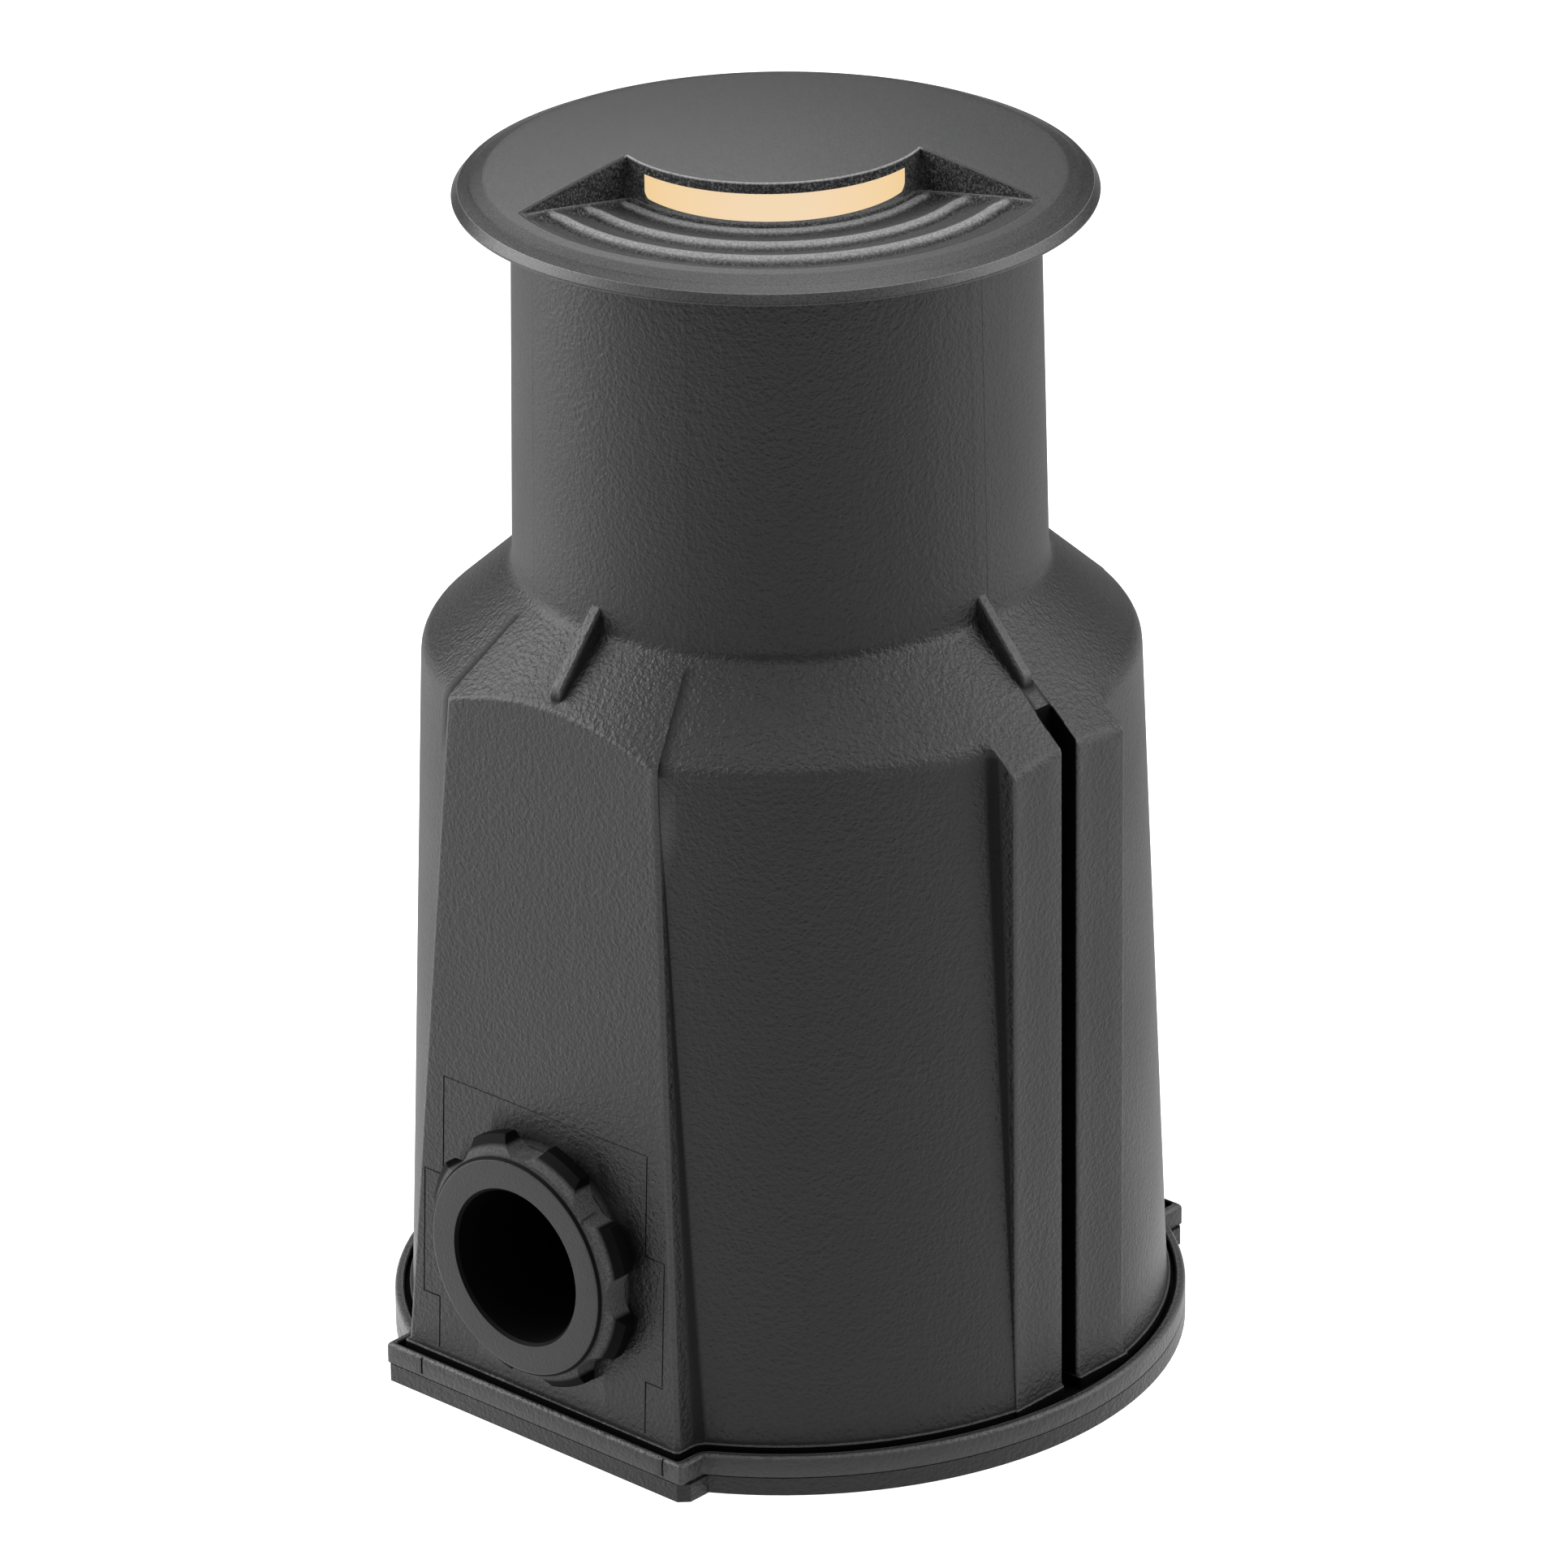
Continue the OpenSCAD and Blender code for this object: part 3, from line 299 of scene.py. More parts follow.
def make_materials():
    black = grey(0.009)
    return {
        "black_moulding": grained_plastic("black_moulding", black, 0.36, 0.6, 0.1, 0.42),
        "bushing_plastic": grained_plastic("bushing_plastic", black, 0.36, 0.35, 0.03, 0.42),
        "bushing_side": bushing_side(),
        "dull_black": plain_finish("dull_black", grey(0.001), 0.8, specular=0.05),
        "coated_casting": coated_casting(),
        "seal_rubber": plain_finish("seal_rubber", grey(0.012), 0.6),
        "bright_steel": plain_finish("bright_steel", (0.62, 0.62, 0.6), 0.28, 1.0),
        "frosted_lens": glowing_lens(),
        "white_reflector": plain_finish("white_reflector", (0.85, 0.85, 0.83), 0.4),
        "raw_casting": plain_finish("raw_casting", (0.42, 0.43, 0.44), 0.5, 0.85, 0.5, 0.05),
        "board_white": plain_finish("board_white", (0.8, 0.82, 0.8), 0.45),
        "phosphor": plain_finish("phosphor", (0.85, 0.62, 0.12), 0.5),
        "lead_insulation": plain_finish("lead_insulation", (0.5, 0.03, 0.025), 0.45),
        "board_green": plain_finish("board_green", (0.015, 0.12, 0.045), 0.4),
        "component_sleeve": plain_finish("component_sleeve", (0.015, 0.017, 0.02), 0.4),
        "ferrite": plain_finish("ferrite", (0.16, 0.06, 0.03), 0.6),
        "potting_resin": plain_finish("potting_resin", (0.012, 0.012, 0.015), 0.2),
        "gland_nylon": plain_finish("gland_nylon", grey(0.018), 0.45),
    }


def finish_cad_nodes(materials):
    for part in frame["record"]["subparts"]:
        mesh = frame["nodes"][part["node"]].data
        mesh.materials.clear()
        mesh.materials.append(materials[part["material_slot"]])


# Helpers for shapes: lengths are in millimetres until a mesh is finished
def lofted(rings):
    """A skin over closed rings with equal counts of points; the last ring meets the first."""
    columns, rows = len(rings[0]), len(rings)
    shape = bmesh.new()
    bmesh.ops.create_grid(shape, x_segments=columns, y_segments=rows, size=1)
    shape.verts.ensure_lookup_table()
    for row in range(rows + 1):
        ring = rings[row % rows]
        for column in range(columns + 1):
            shape.verts[row * (columns + 1) + column].co = ring[column % columns]
    bmesh.ops.remove_doubles(shape, verts=shape.verts, dist=1e-5)
    bmesh.ops.recalc_face_normals(shape, faces=shape.faces)
    return shape


def finished(shape, name, material):
    """The shape as an object whose place is in its mesh."""
    mesh = bpy.data.meshes.new(name)
    shape.to_mesh(mesh)
    shape.free()
    mesh.materials.append(material)
    piece = bpy.data.objects.new(name, mesh)
    bpy.context.scene.collection.objects.link(piece)
    return piece


def applied(piece):
    """Bakes the piece's modifiers into its mesh."""
    graph = bpy.context.evaluated_depsgraph_get()
    mesh = bpy.data.meshes.new_from_object(piece.evaluated_get(graph))
    piece.modifiers.clear()
    piece.data = mesh


def combined(piece, other, operation):
    """The piece joined with the other, or cut by it; the other is used up."""
    step = piece.modifiers.new("step", "BOOLEAN")
    step.operation = operation
    step.solver = "EXACT"
    step.object = other
    applied(piece)
    bpy.data.objects.remove(other)
    return piece


def smooth_to(shape, sharp_angle):
    """Smooth shading that breaks at edges sharper than the angle."""
    for face in shape.faces:
        face.smooth = True
    for edge in shape.edges:
        edge.smooth = edge.calc_face_angle(0) < sharp_angle


def shaded(piece, sharp_angle=35):
    """Smooth shading that stays flat on flat faces and breaks at sharp edges."""
    shape = bmesh.new()
    shape.from_mesh(piece.data)
    smooth_to(shape, math.radians(sharp_angle))
    shape.to_mesh(piece.data)
    shape.free()
    normals = piece.modifiers.new("normals", "WEIGHTED_NORMAL")
    normals.keep_sharp = True
    normals.weight = 100


def faced(piece, material, belongs):
    """The faces for which belongs(centre, normal) holds take a second finish."""
    piece.data.materials.append(material)
    last = len(piece.data.materials) - 1
    for face in piece.data.polygons:
        if belongs(face.center, face.normal):
            face.material_index = last


def painted(piece, name, share):
    """The piece's points carry share as a value for its material."""
    values = piece.data.attributes.new(name, "FLOAT", "POINT")
    for vert, value in zip(piece.data.vertices, values.data):
        value.value = float(share(*vert.co, vert.normal))


def folds(piece):
    """For each point, how far its faces fold: above 0 on an edge, below 0 in a corner."""
    shape = bmesh.new()
    shape.from_mesh(piece.data)
    sums = [sum(edge.calc_face_angle_signed(0) for edge in vert.link_edges) for vert in shape.verts]
    shape.free()
    return sums


def placed(piece, body, node):
    """The piece rides on the body and takes the node's place."""
    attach(piece, body)
    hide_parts(node)


def between(a, b, t):
    return a + (b - a) * t


def eased_step(value):
    value = max(0, min(1, value))
    return value * value * (3 - 2 * value)


def steps(count):
    """Shares of the way to 1, without the start."""
    return [(i + 1) / count for i in range(count)]


def curved(start, corner, end, t):
    """A point on the soft turn from start over corner to end."""
    return [between(between(s, c, t), between(c, e, t), t) for s, c, e in zip(start, corner, end)]


def arc(centre, radius, first, last, count):
    """Points on an arc, without its first one."""
    turns = [math.radians(between(first, last, t)) for t in steps(count)]
    return [(centre[0] + radius * math.cos(a), centre[1] + radius * math.sin(a)) for a in turns]


# Housing: its outline runs from a slot's middle to a pad's middle, and is mirrored round
FLANGE_TOP = 5.3
COVER_TOP = 2.4
WALL = 2.5
FLANGE_R, FLANGE_FLAT, EAR_HALF_W = 51.15, 48.45, 25.7
BODY_FOOT_R, BODY_LEAN = 49, 0.0392
PAD_FOOT, PAD_LEAN = 46.9, 0.0484
PAD_FOOT_HALF_W, PAD_NARROWING = 23.8, 0.0648
NECK_FOOT = (33.6, 106)
NECK_TOP = (32.7, 153.4)
NECK_BORE_R = 30.2
SHOULDER_SLOPE = 0.898
BAR_FACE, BAR_HALF_W = 47.9, 10.3
SLOT_FLOOR, SLOT_HALF_W = 43.5, 1.45
SLOT_BACK, SLOT_BACK_HALF_W = 41, 4
BAR_EDGE = 0.45
PAD_EDGE = 0.7
INNER_TURN = 1.6
COLUMN_GROUPS = (3, 3, 4, 3, 4, 2, 4, 18, 4, 2, 5, 12)
BAR_COLUMNS = sum(COLUMN_GROUPS[2:7])
ROUND_COLUMNS, TURN_COLUMNS, EAR_COLUMNS, EDGE_COLUMNS, PAD_COLUMNS = COLUMN_GROUPS[7:]
# The turn from the wall to the shoulder, at the start and end of each group
TURN_SIZES = ((0.3, 0.3, 0.3, 1.1, 0.9, 0.3, 0.4, 1.5, 1.5, 0.6, 0.4, 0.4),
              (0.3, 0.3, 0.9, 1.1, 0.3, 0.3, 1.5, 1.5, 0.6, 0.4, 0.4, 0.5))
FLANGE_ROUND = 0.6
NECK_EDGE = 0.3
RIB_FOOT_REACH, RIB_HALF_T, RIB_TOP = 7.4, 0.9, 109.8


def body_radius(z):
    return BODY_FOOT_R - BODY_LEAN * z


def pad_distance(z):
    return PAD_FOOT - PAD_LEAN * z


def pad_half_width(z):
    return PAD_FOOT_HALF_W - PAD_NARROWING * z


def cone_radius(z, drop=0):
    return NECK_FOOT[0] + (NECK_FOOT[1] - drop - z) / SHOULDER_SLOPE


def bar_points(radius, grow):
    """From the slot's middle over the bar to the round part of the body."""
    face, half_w = BAR_FACE + grow, BAR_HALF_W + grow
    join_x = math.sqrt(radius ** 2 - half_w ** 2)
    outer_edge = max(0.05, min(BAR_EDGE, 0.8 * (face - join_x)))
    turn = max(0.05, min(INNER_TURN, 0.6 * (face - outer_edge - join_x)))
    points = [(SLOT_FLOOR, SLOT_HALF_W * t) for t in (0, 0.5, 1)]
    points += [(between(SLOT_FLOOR, face - BAR_EDGE, t), SLOT_HALF_W) for t in steps(3)]
    points += arc((face - BAR_EDGE, SLOT_HALF_W + BAR_EDGE), BAR_EDGE, -90, 0, 4)
    points += [(face, between(SLOT_HALF_W + BAR_EDGE, half_w - outer_edge, t)) for t in steps(3)]
    points += arc((face - outer_edge, half_w - outer_edge), outer_edge, 0, 90, 4)
    points += [(between(face - outer_edge, join_x + turn, t), half_w) for t in steps(2)]
    end = math.atan2(half_w, join_x) + turn / radius
    after = (radius * math.cos(end), radius * math.sin(end))
    points += [curved((join_x + turn, half_w), (join_x, half_w), after, t) for t in steps(4)]
    return points, end


def round_points(radius):
    """The same count of points where there is no bar: all on the circle."""
    last = BAR_HALF_W + INNER_TURN
    ys = [SLOT_HALF_W * t for t in (0, 0.5, 1)] + [SLOT_HALF_W + 0.04 * t for t in steps(3)]
    ys += [between(ys[-1], last, t) for t in steps(BAR_COLUMNS)]
    return [(math.sqrt(radius ** 2 - y * y), y) for y in ys], math.asin(last / radius)


def slot_back_points(radius):
    """Inside the wall, with the block behind the slot."""
    last = BAR_HALF_W + INNER_TURN
    side_x = math.sqrt(radius ** 2 - SLOT_BACK_HALF_W ** 2)
    points = [(SLOT_BACK, SLOT_BACK_HALF_W * t) for t in (0, 0.5, 1)]
    points += [(between(SLOT_BACK, side_x, t), SLOT_BACK_HALF_W) for t in steps(3)]
    ys = [between(SLOT_BACK_HALF_W, last, t) for t in steps(BAR_COLUMNS)]
    return points + [(math.sqrt(radius ** 2 - y * y), y) for y in ys], math.asin(last / radius)


def outline(start, radius, pad_y, pad_x, edge=PAD_EDGE, turn=INNER_TURN):
    """Closed ring of points; start gives the points as far as the round part."""
    points, first = start
    join_y = math.sqrt(radius ** 2 - pad_x ** 2)
    turn = min(turn, 0.45 * (pad_y - edge - join_y))
    last = math.atan2(join_y, pad_x) - turn / radius
    for t in steps(ROUND_COLUMNS):
        a = between(first, last, t)
        points.append((radius * math.cos(a), radius * math.sin(a)))
    before = points[-1]
    corner, after = (pad_x, join_y), (pad_x, join_y + turn)
    points += [curved(before, corner, after, t) for t in steps(TURN_COLUMNS)]
    points += [(pad_x, between(after[1], pad_y - edge, t)) for t in steps(EAR_COLUMNS)]
    points += arc((pad_x - edge, pad_y - edge), edge, 0, 90, EDGE_COLUMNS)
    points += [(between(pad_x - edge, 0, t), pad_y) for t in steps(PAD_COLUMNS)]
    half = points + [(-x, y) for x, y in reversed(points[:-1])]
    return half + [(x, -y) for x, y in reversed(half[1:-1])]


def body_ring(z, grow=0):
    radius = body_radius(z) + grow
    return outline(bar_points(radius, grow), radius, pad_distance(z) + grow,
                   pad_half_width(z) + grow)


def plain_ring(z, grow):
    radius = body_radius(z) + grow
    return outline(round_points(radius), radius, pad_distance(z) + grow, pad_half_width(z) + grow)


def inner_ring(z):
    radius = body_radius(z) - WALL
    return outline(slot_back_points(radius), radius, pad_distance(z) - WALL,
                   pad_half_width(z) - WALL, turn=0.5)


def flange_ring(inset):
    radius = FLANGE_R - inset
    return outline(round_points(radius), radius, FLANGE_FLAT - inset, EAR_HALF_W - inset,
                   edge=0.5, turn=0.4)


def crossing(ring_at, column, drop):
    """Height at which a column of the wall meets the shoulder's cone."""
    low, high = 60.0, NECK_FOOT[1] - drop - 1
    for _ in range(30):
        middle = (low + high) / 2
        x, y = ring_at(middle)[column]
        if math.hypot(x, y) < cone_radius(middle, drop):
            low = middle
        else:
            high = middle
    return low


def softness():
    """Size of the turn from the wall to the shoulder, for each column all round."""
    sizes = []
    for count, first, last in zip(COLUMN_GROUPS, *TURN_SIZES):
        sizes += [between(first, last, t) for t in steps(count)]
    half = sizes + sizes[-2::-1]
    return half + half[-2:0:-1]


def level(ring, z):
    return [(x, y, z) for x, y in ring]


def wall_to_shoulder(ring_at, foot_z, rows, drop, sizes, foot_r):
    """Rows of one wall from its foot to the cone, over the turn, and up the cone to foot_r."""
    tops = [crossing(ring_at, column, drop) for column in range(len(sizes))]
    shared = {}

    def column_at(z, column):
        key = round(z, 4)
        if key not in shared:
            shared[key] = ring_at(z)
        x, y = shared[key][column]
        return x, y, z

    result = []
    for t in [0] + steps(rows):
        result.append([column_at(between(foot_z, top - size, t), column)
                       for column, (top, size) in enumerate(zip(tops, sizes))])
    corners = [column_at(top, column) for column, top in enumerate(tops)]
    starts = result[-1]
    ends = []
    for (x, y, z), size in zip(corners, sizes):
        radius = math.hypot(x, y)
        inner = radius - size * 0.75
        ends.append((x * inner / radius, y * inner / radius, z + (radius - inner) * SHOULDER_SLOPE))
    for t in steps(5):
        result.append([curved(s, c, e, t) for s, c, e in zip(starts, corners, ends)])
    for t in steps(7):
        row = []
        for x, y, z in ends:
            radius = math.hypot(x, y)
            r = between(radius, foot_r, t)
            row.append((x * r / radius, y * r / radius, z + (radius - r) * SHOULDER_SLOPE))
        result.append(row)
    return result


def round_row(angles, radius, z):
    return [(radius * math.cos(a), radius * math.sin(a), z) for a in angles]


def housing_rings():
    shoulder_drop = WALL * math.sqrt(1 + SHOULDER_SLOPE ** 2)
    sizes = softness()
    rings = [level(flange_ring(0.15), COVER_TOP), level(flange_ring(0), COVER_TOP + 0.15)]
    rings.append(level(flange_ring(0), FLANGE_TOP - FLANGE_ROUND))
    for t in steps(4):
        a = math.radians(90 * t)
        rings.append(level(flange_ring(FLANGE_ROUND * (1 - math.cos(a))),
                           FLANGE_TOP - FLANGE_ROUND * (1 - math.sin(a))))
    rings.append(level(plain_ring(FLANGE_TOP, 1.3), FLANGE_TOP))
    rings.append(level(plain_ring(FLANGE_TOP, 1.1), FLANGE_TOP - 0.2))
    rings.append(level(plain_ring(FLANGE_TOP, 1.1), FLANGE_TOP - 1.2))
    rings.append(level(body_ring(FLANGE_TOP, 0.42), FLANGE_TOP - 1.1))
    bead_top = FLANGE_TOP + 0.6
    for grow, rise in ((0.42, -0.2), (0.36, -0.05), (0.25, 0), (0.14, 0.02), (0.06, 0.2),
                       (0.02, 0.6)):
        rings.append(level(body_ring(bead_top + rise, grow), bead_top + rise))
    outer = wall_to_shoulder(body_ring, bead_top + 1.2, 12, 0, sizes, NECK_FOOT[0] + 0.9)
    rings += outer
    angles = [math.atan2(y, x) for x, y, z in outer[-1]]
    start = (NECK_FOOT[0] + 0.9, NECK_FOOT[1] - 0.9 * SHOULDER_SLOPE)
    end = (NECK_FOOT[0], NECK_FOOT[1] + 1.2)
    for t in steps(5):
        r, z = curved(start, NECK_FOOT, end, t)
        rings.append(round_row(angles, r, z))
    edge = NECK_EDGE
    for t in steps(8):
        z = between(end[1], NECK_TOP[1] - edge, t)
        rings.append(round_row(angles, between(NECK_FOOT[0], NECK_TOP[0], t), z))
    for radius, drop in ((NECK_TOP[0] - 0.3 * edge, 0.3 * edge), (NECK_TOP[0] - edge, 0),
                         (NECK_BORE_R + edge, 0), (NECK_BORE_R + 0.3 * edge, 0.3 * edge),
                         (NECK_BORE_R, edge)):
        rings.append(round_row(angles, radius, NECK_TOP[1] - drop))
    inner = wall_to_shoulder(inner_ring, COVER_TOP, 5, shoulder_drop, [0.5] * len(sizes),
                             NECK_BORE_R)
    for t in (0.3, 0.6, 0.9):
        rings.append(round_row(angles, NECK_BORE_R, between(NECK_TOP[1], inner[-1][0][2], t)))
    return rings + inner[::-1]


def gusset(turn):
    """A rib with soft edges from the shoulder up to the neck."""
    end_r = NECK_FOOT[0] + RIB_FOOT_REACH
    end_z = NECK_FOOT[1] - SHOULDER_SLOPE * RIB_FOOT_REACH
    corners = [(31.4, 98), (31.4, RIB_TOP), (33.3, RIB_TOP), (end_r, end_z + 1.6),
               (end_r, end_z - 1.4)]
    shape = bmesh.new()
    face = shape.faces.new([shape.verts.new((x, -RIB_HALF_T, z)) for x, z in corners])
    pulled(shape, [face], (0, 2 * RIB_HALF_T, 0))
    bmesh.ops.bevel(shape, geom=shape.edges[:], offset=0.35, segments=3, profile=0.5,
                    affect="EDGES", material=-1)
    bmesh.ops.recalc_face_normals(shape, faces=shape.faces)
    bmesh.ops.rotate(shape, verts=shape.verts, matrix=Matrix.Rotation(math.radians(turn), 3, "Z"))
    return shape


def pulled(shape, faces, way):
    """The faces are drawn out along way into a solid."""
    out = bmesh.ops.extrude_face_region(shape, geom=faces)["geom"]
    bmesh.ops.translate(shape, verts=[v for v in out if isinstance(v, bmesh.types.BMVert)], vec=way)


def bar_of(radius, length, segments=96):
    """A round bar along +Z from the origin."""
    shape = bmesh.new()
    bmesh.ops.create_cone(shape, cap_ends=True, segments=segments, radius1=radius, radius2=radius,
                          depth=length)
    bmesh.ops.translate(shape, verts=shape.verts, vec=(0, 0, length / 2))
    return shape


def block(x0, x1, y0, y1, z0, z1):
    shape = bmesh.new()
    bmesh.ops.create_cube(shape, size=1)
    bmesh.ops.scale(shape, vec=(x1 - x0, y1 - y0, z1 - z0), verts=shape.verts)
    bmesh.ops.translate(shape, verts=shape.verts, vec=((x0 + x1) / 2, (y0 + y1) / 2, (z0 + z1) / 2))
    return shape


def upright(radius, x, y, low, high, segments):
    shape = bar_of(radius, high - low, segments)
    bmesh.ops.translate(shape, verts=shape.verts, vec=(x, y, low))
    return shape


def turned(shape, side, y, z):
    """The shape's +Z axis is laid along -Y (side 0) or +Y (side 180), at height z."""
    bmesh.ops.rotate(shape, verts=shape.verts, matrix=Matrix.Rotation(math.radians(90), 3, "X"))
    bmesh.ops.translate(shape, verts=shape.verts, vec=(0, -y, z))
    bmesh.ops.rotate(shape, verts=shape.verts, matrix=Matrix.Rotation(math.radians(side), 3, "Z"))
    return shape


def merged(shapes):
    """Several closed shapes in one."""
    whole = bmesh.new()
    for shape in shapes:
        mesh = bpy.data.meshes.new("part")
        shape.to_mesh(mesh)
        shape.free()
        whole.from_mesh(mesh)
        bpy.data.meshes.remove(mesh)
    return whole


ENTRY_Z = 25.35
HEAD_SEAT = 46.3
HEAD_R = 16.95
WITNESS_W, WITNESS_DEPTH = 0.22, 0.16
MARKS = (-19.5, 22.4)
MARK_W, MARK_DEPTH = 0.3, 0.2
BASE_SCREW = (19, 41.5)
POST_R, POST_TOP = 3.5, 18
POST_HOLE_R, POST_HOLE_TOP = 1.65, 15.4
COLLAR_R, COLLAR_BACK = 15, 34.9
BORE_R, BORE_BACK, BORE_LENGTH = 12.65, 33, 16


def witness_path(inset):
    """Stepped outline of the mould insert round the conduit entry."""
    foot, lower, upper = 18 - inset, 20.8 - inset, 17.6 - inset
    step, widest, top = 13.5 + inset, 30.8 - inset, 44.4 - inset
    half = [(foot, 6.5), (foot, step), (lower, step), (lower, widest), (upper, widest),
            (upper, top)]
    return [(-x, z) for x, z in half] + half[::-1]


def witness_groove(side):
    """Cutter for the fine line round the mould insert, on one pad."""
    shape = bmesh.new()
    lean = math.atan(PAD_LEAN)
    outer, inner = [[shape.verts.new((x, z * math.sin(lean) - PAD_FOOT, z * math.cos(lean)))
                     for x, z in witness_path(inset)] for inset in (0, WITNESS_W)]
    for i in range(len(outer) - 1):
        shape.faces.new((outer[i], outer[i + 1], inner[i + 1], inner[i]))
    bmesh.ops.translate(shape, verts=shape.verts, vec=(0, WITNESS_DEPTH, 0))
    pulled(shape, shape.faces[:], (0, -1, 0))
    bmesh.ops.recalc_face_normals(shape, faces=shape.faces)
    bmesh.ops.rotate(shape, verts=shape.verts, matrix=Matrix.Rotation(math.radians(side), 3, "Z"))
    return shape


def flange_marks(side):
    """Cutter for the two upright lines on one flat of the flange."""
    shape = merged([block(x, x + MARK_W, -FLANGE_FLAT - 1.05, MARK_DEPTH - FLANGE_FLAT,
                          COVER_TOP + 0.5, FLANGE_TOP + 1) for x in MARKS])
    bmesh.ops.rotate(shape, verts=shape.verts, matrix=Matrix.Rotation(math.radians(side), 3, "Z"))
    return shape


def in_painted_shade(x, y, z):
    """Whether a place lies in a slot, or in the groove at the foot, which take painted shade."""
    slot = 6 < z and abs(y) < SLOT_HALF_W + 0.1 and SLOT_FLOOR - 0.2 < abs(x) < BAR_FACE - 0.5
    inside = math.hypot(x, y) < FLANGE_R - 0.75 or abs(x) < EAR_HALF_W - 0.7
    at_groove = FLANGE_TOP - 1.4 < z < FLANGE_TOP - 0.1
    return slot or (at_groove and inside and abs(y) < FLANGE_FLAT - 0.35)


def paint_moulding(piece):
    """Painted highlight on the outer edges; painted shade in the corners, the slots and the groove
    at the foot.
    """
    edge = piece.data.attributes.new("edge", "FLOAT", "POINT")
    painted_shade = piece.data.attributes.new("painted_shade", "FLOAT", "POINT")
    for index, (vert, bend) in enumerate(zip(piece.data.vertices, folds(piece))):
        dark = in_painted_shade(*vert.co)
        below_neck = vert.co.z < NECK_FOOT[1] - 2
        edge.data[index].value = 0.0 if dark else below_neck * eased_step((bend - 0.2) / 0.6)
        painted_shade.data[index].value = 1.0 if dark else below_neck * eased_step((-bend - 0.15) / 0.5)


def at_entries(radius, length, start):
    """A round bar at each conduit entry, outward from start."""
    return merged([turned(bar_of(radius, length), side, start, ENTRY_Z) for side in (0, 180)])


def at_base_screws(radius, low, high, segments):
    return merged([upright(radius, x * BASE_SCREW[0], y * BASE_SCREW[1], low, high, segments)
                   for x in (-1, 1) for y in (-1, 1)])


def make_housing(material, dull_black):
    piece = finished(lofted(housing_rings()), "housing_shell", material)
    for name, operation, shape in (
            ("collars", "UNION", at_entries(COLLAR_R, HEAD_SEAT - COLLAR_BACK, COLLAR_BACK)),
            ("ribs", "UNION", merged([gusset(turn) for turn in (0, 90, 180, 270)])),
            ("posts", "UNION", at_base_screws(POST_R, COVER_TOP, POST_TOP, 48)),
            ("holes", "DIFFERENCE", at_base_screws(POST_HOLE_R, COVER_TOP - 1, POST_HOLE_TOP, 32)),
            ("bores", "DIFFERENCE", at_entries(BORE_R, BORE_LENGTH, BORE_BACK)),
            ("seats", "DIFFERENCE", at_entries(HEAD_R, 4, HEAD_SEAT))):
        combined(piece, finished(shape, name, material), operation)
    paint_moulding(piece)
    lines = merged([line(side) for line in (witness_groove, flange_marks) for side in (0, 180)])
    combined(piece, finished(lines, "lines", material), "DIFFERENCE")
    # Painted shade: the slots and the foot's groove take the near-black, dull finish
    faced(piece, dull_black, lambda centre, normal: in_painted_shade(*centre))
    piece.data.transform(Matrix.Scale(MM, 4))
    shaded(piece)
    placed(piece, "well", "housing")


# Faceplate, in its own frame: +Y is the direction of the light
PLATE_R = 40
PLATE_BOTTOM = 154.2
CROWN = 158.0
DOME_R, DOME_EDGE = 36, 157.0
BOSS_R, BOSS_BOTTOM = 29.8, 149.5
ROOF_R, ROOF_BACK, ROOF_UNDER = 19.73, 12.56, 156.5
FLOOR_BACK_R, FLOOR_BACK_Z, FLOOR_RISE = 19.93, 152.2, 4.9
FLOOR_FRONT_R = 34.5
SIDE_CORNER, SIDE_TIP = (18, -4.85), (32.15, 13.3)
ROPES = ((0.02, 0.09, 0.33, 0.75), (0.35, 0.42, 0.66, 0.95), (0.68, 0.75, 0.97, 1.05))
HOOK, HOOK_REACH = 0.1, 3.4
RIM_LINE = PLATE_R - 1 + 0.3 * math.cos(math.radians(47.5))
WINDOW_HALF_W = 16.1
CURB_BACK_R, CURB_R, CURB_TOP = 16.5, 20.18, 152.75
CURB_HALF_ANGLE = math.radians(60.5)
LENS_R, LENS_BACK, LENS_LAP, LENS_GAP = 17.8, 11.1, 1, 0.05
PLATE_SCREWS = ((0, 18.5), (12.5, -14), (-12.5, -14))
PLATE_HOLE_R, PLATE_HOLE_TOP = 1.55, BOSS_BOTTOM + 3.1
ROOF_EDGE = 0.28
# How strong the painted highlight is on the rim's line and on the crests and edges, and how pale
# the curb and the floor's border are
RIM_HIGHLIGHT, EDGE_HIGHLIGHT, CURB_PALENESS, RIDGE_PALENESS = 0.4, 0.75, 0.3, 0.3


def spun(profile, count=256):
    """A closed profile of radius and height turned round the Z axis."""
    shape = bmesh.new()
    verts = [shape.verts.new((r, 0, z)) for r, z in profile]
    edges = [shape.edges.new((a, b)) for a, b in zip(verts, verts[1:])]
    bmesh.ops.spin(shape, geom=verts + edges, axis=(0, 0, 1), cent=(0, 0, 0), steps=count,
                   angle=2 * math.pi, use_merge=True)
    bmesh.ops.remove_doubles(shape, verts=shape.verts, dist=1e-5)
    bmesh.ops.recalc_face_normals(shape, faces=shape.faces)
    return shape


def dome_z(x, y):
    return CROWN - (CROWN - DOME_EDGE) * (x * x + y * y) / DOME_R ** 2


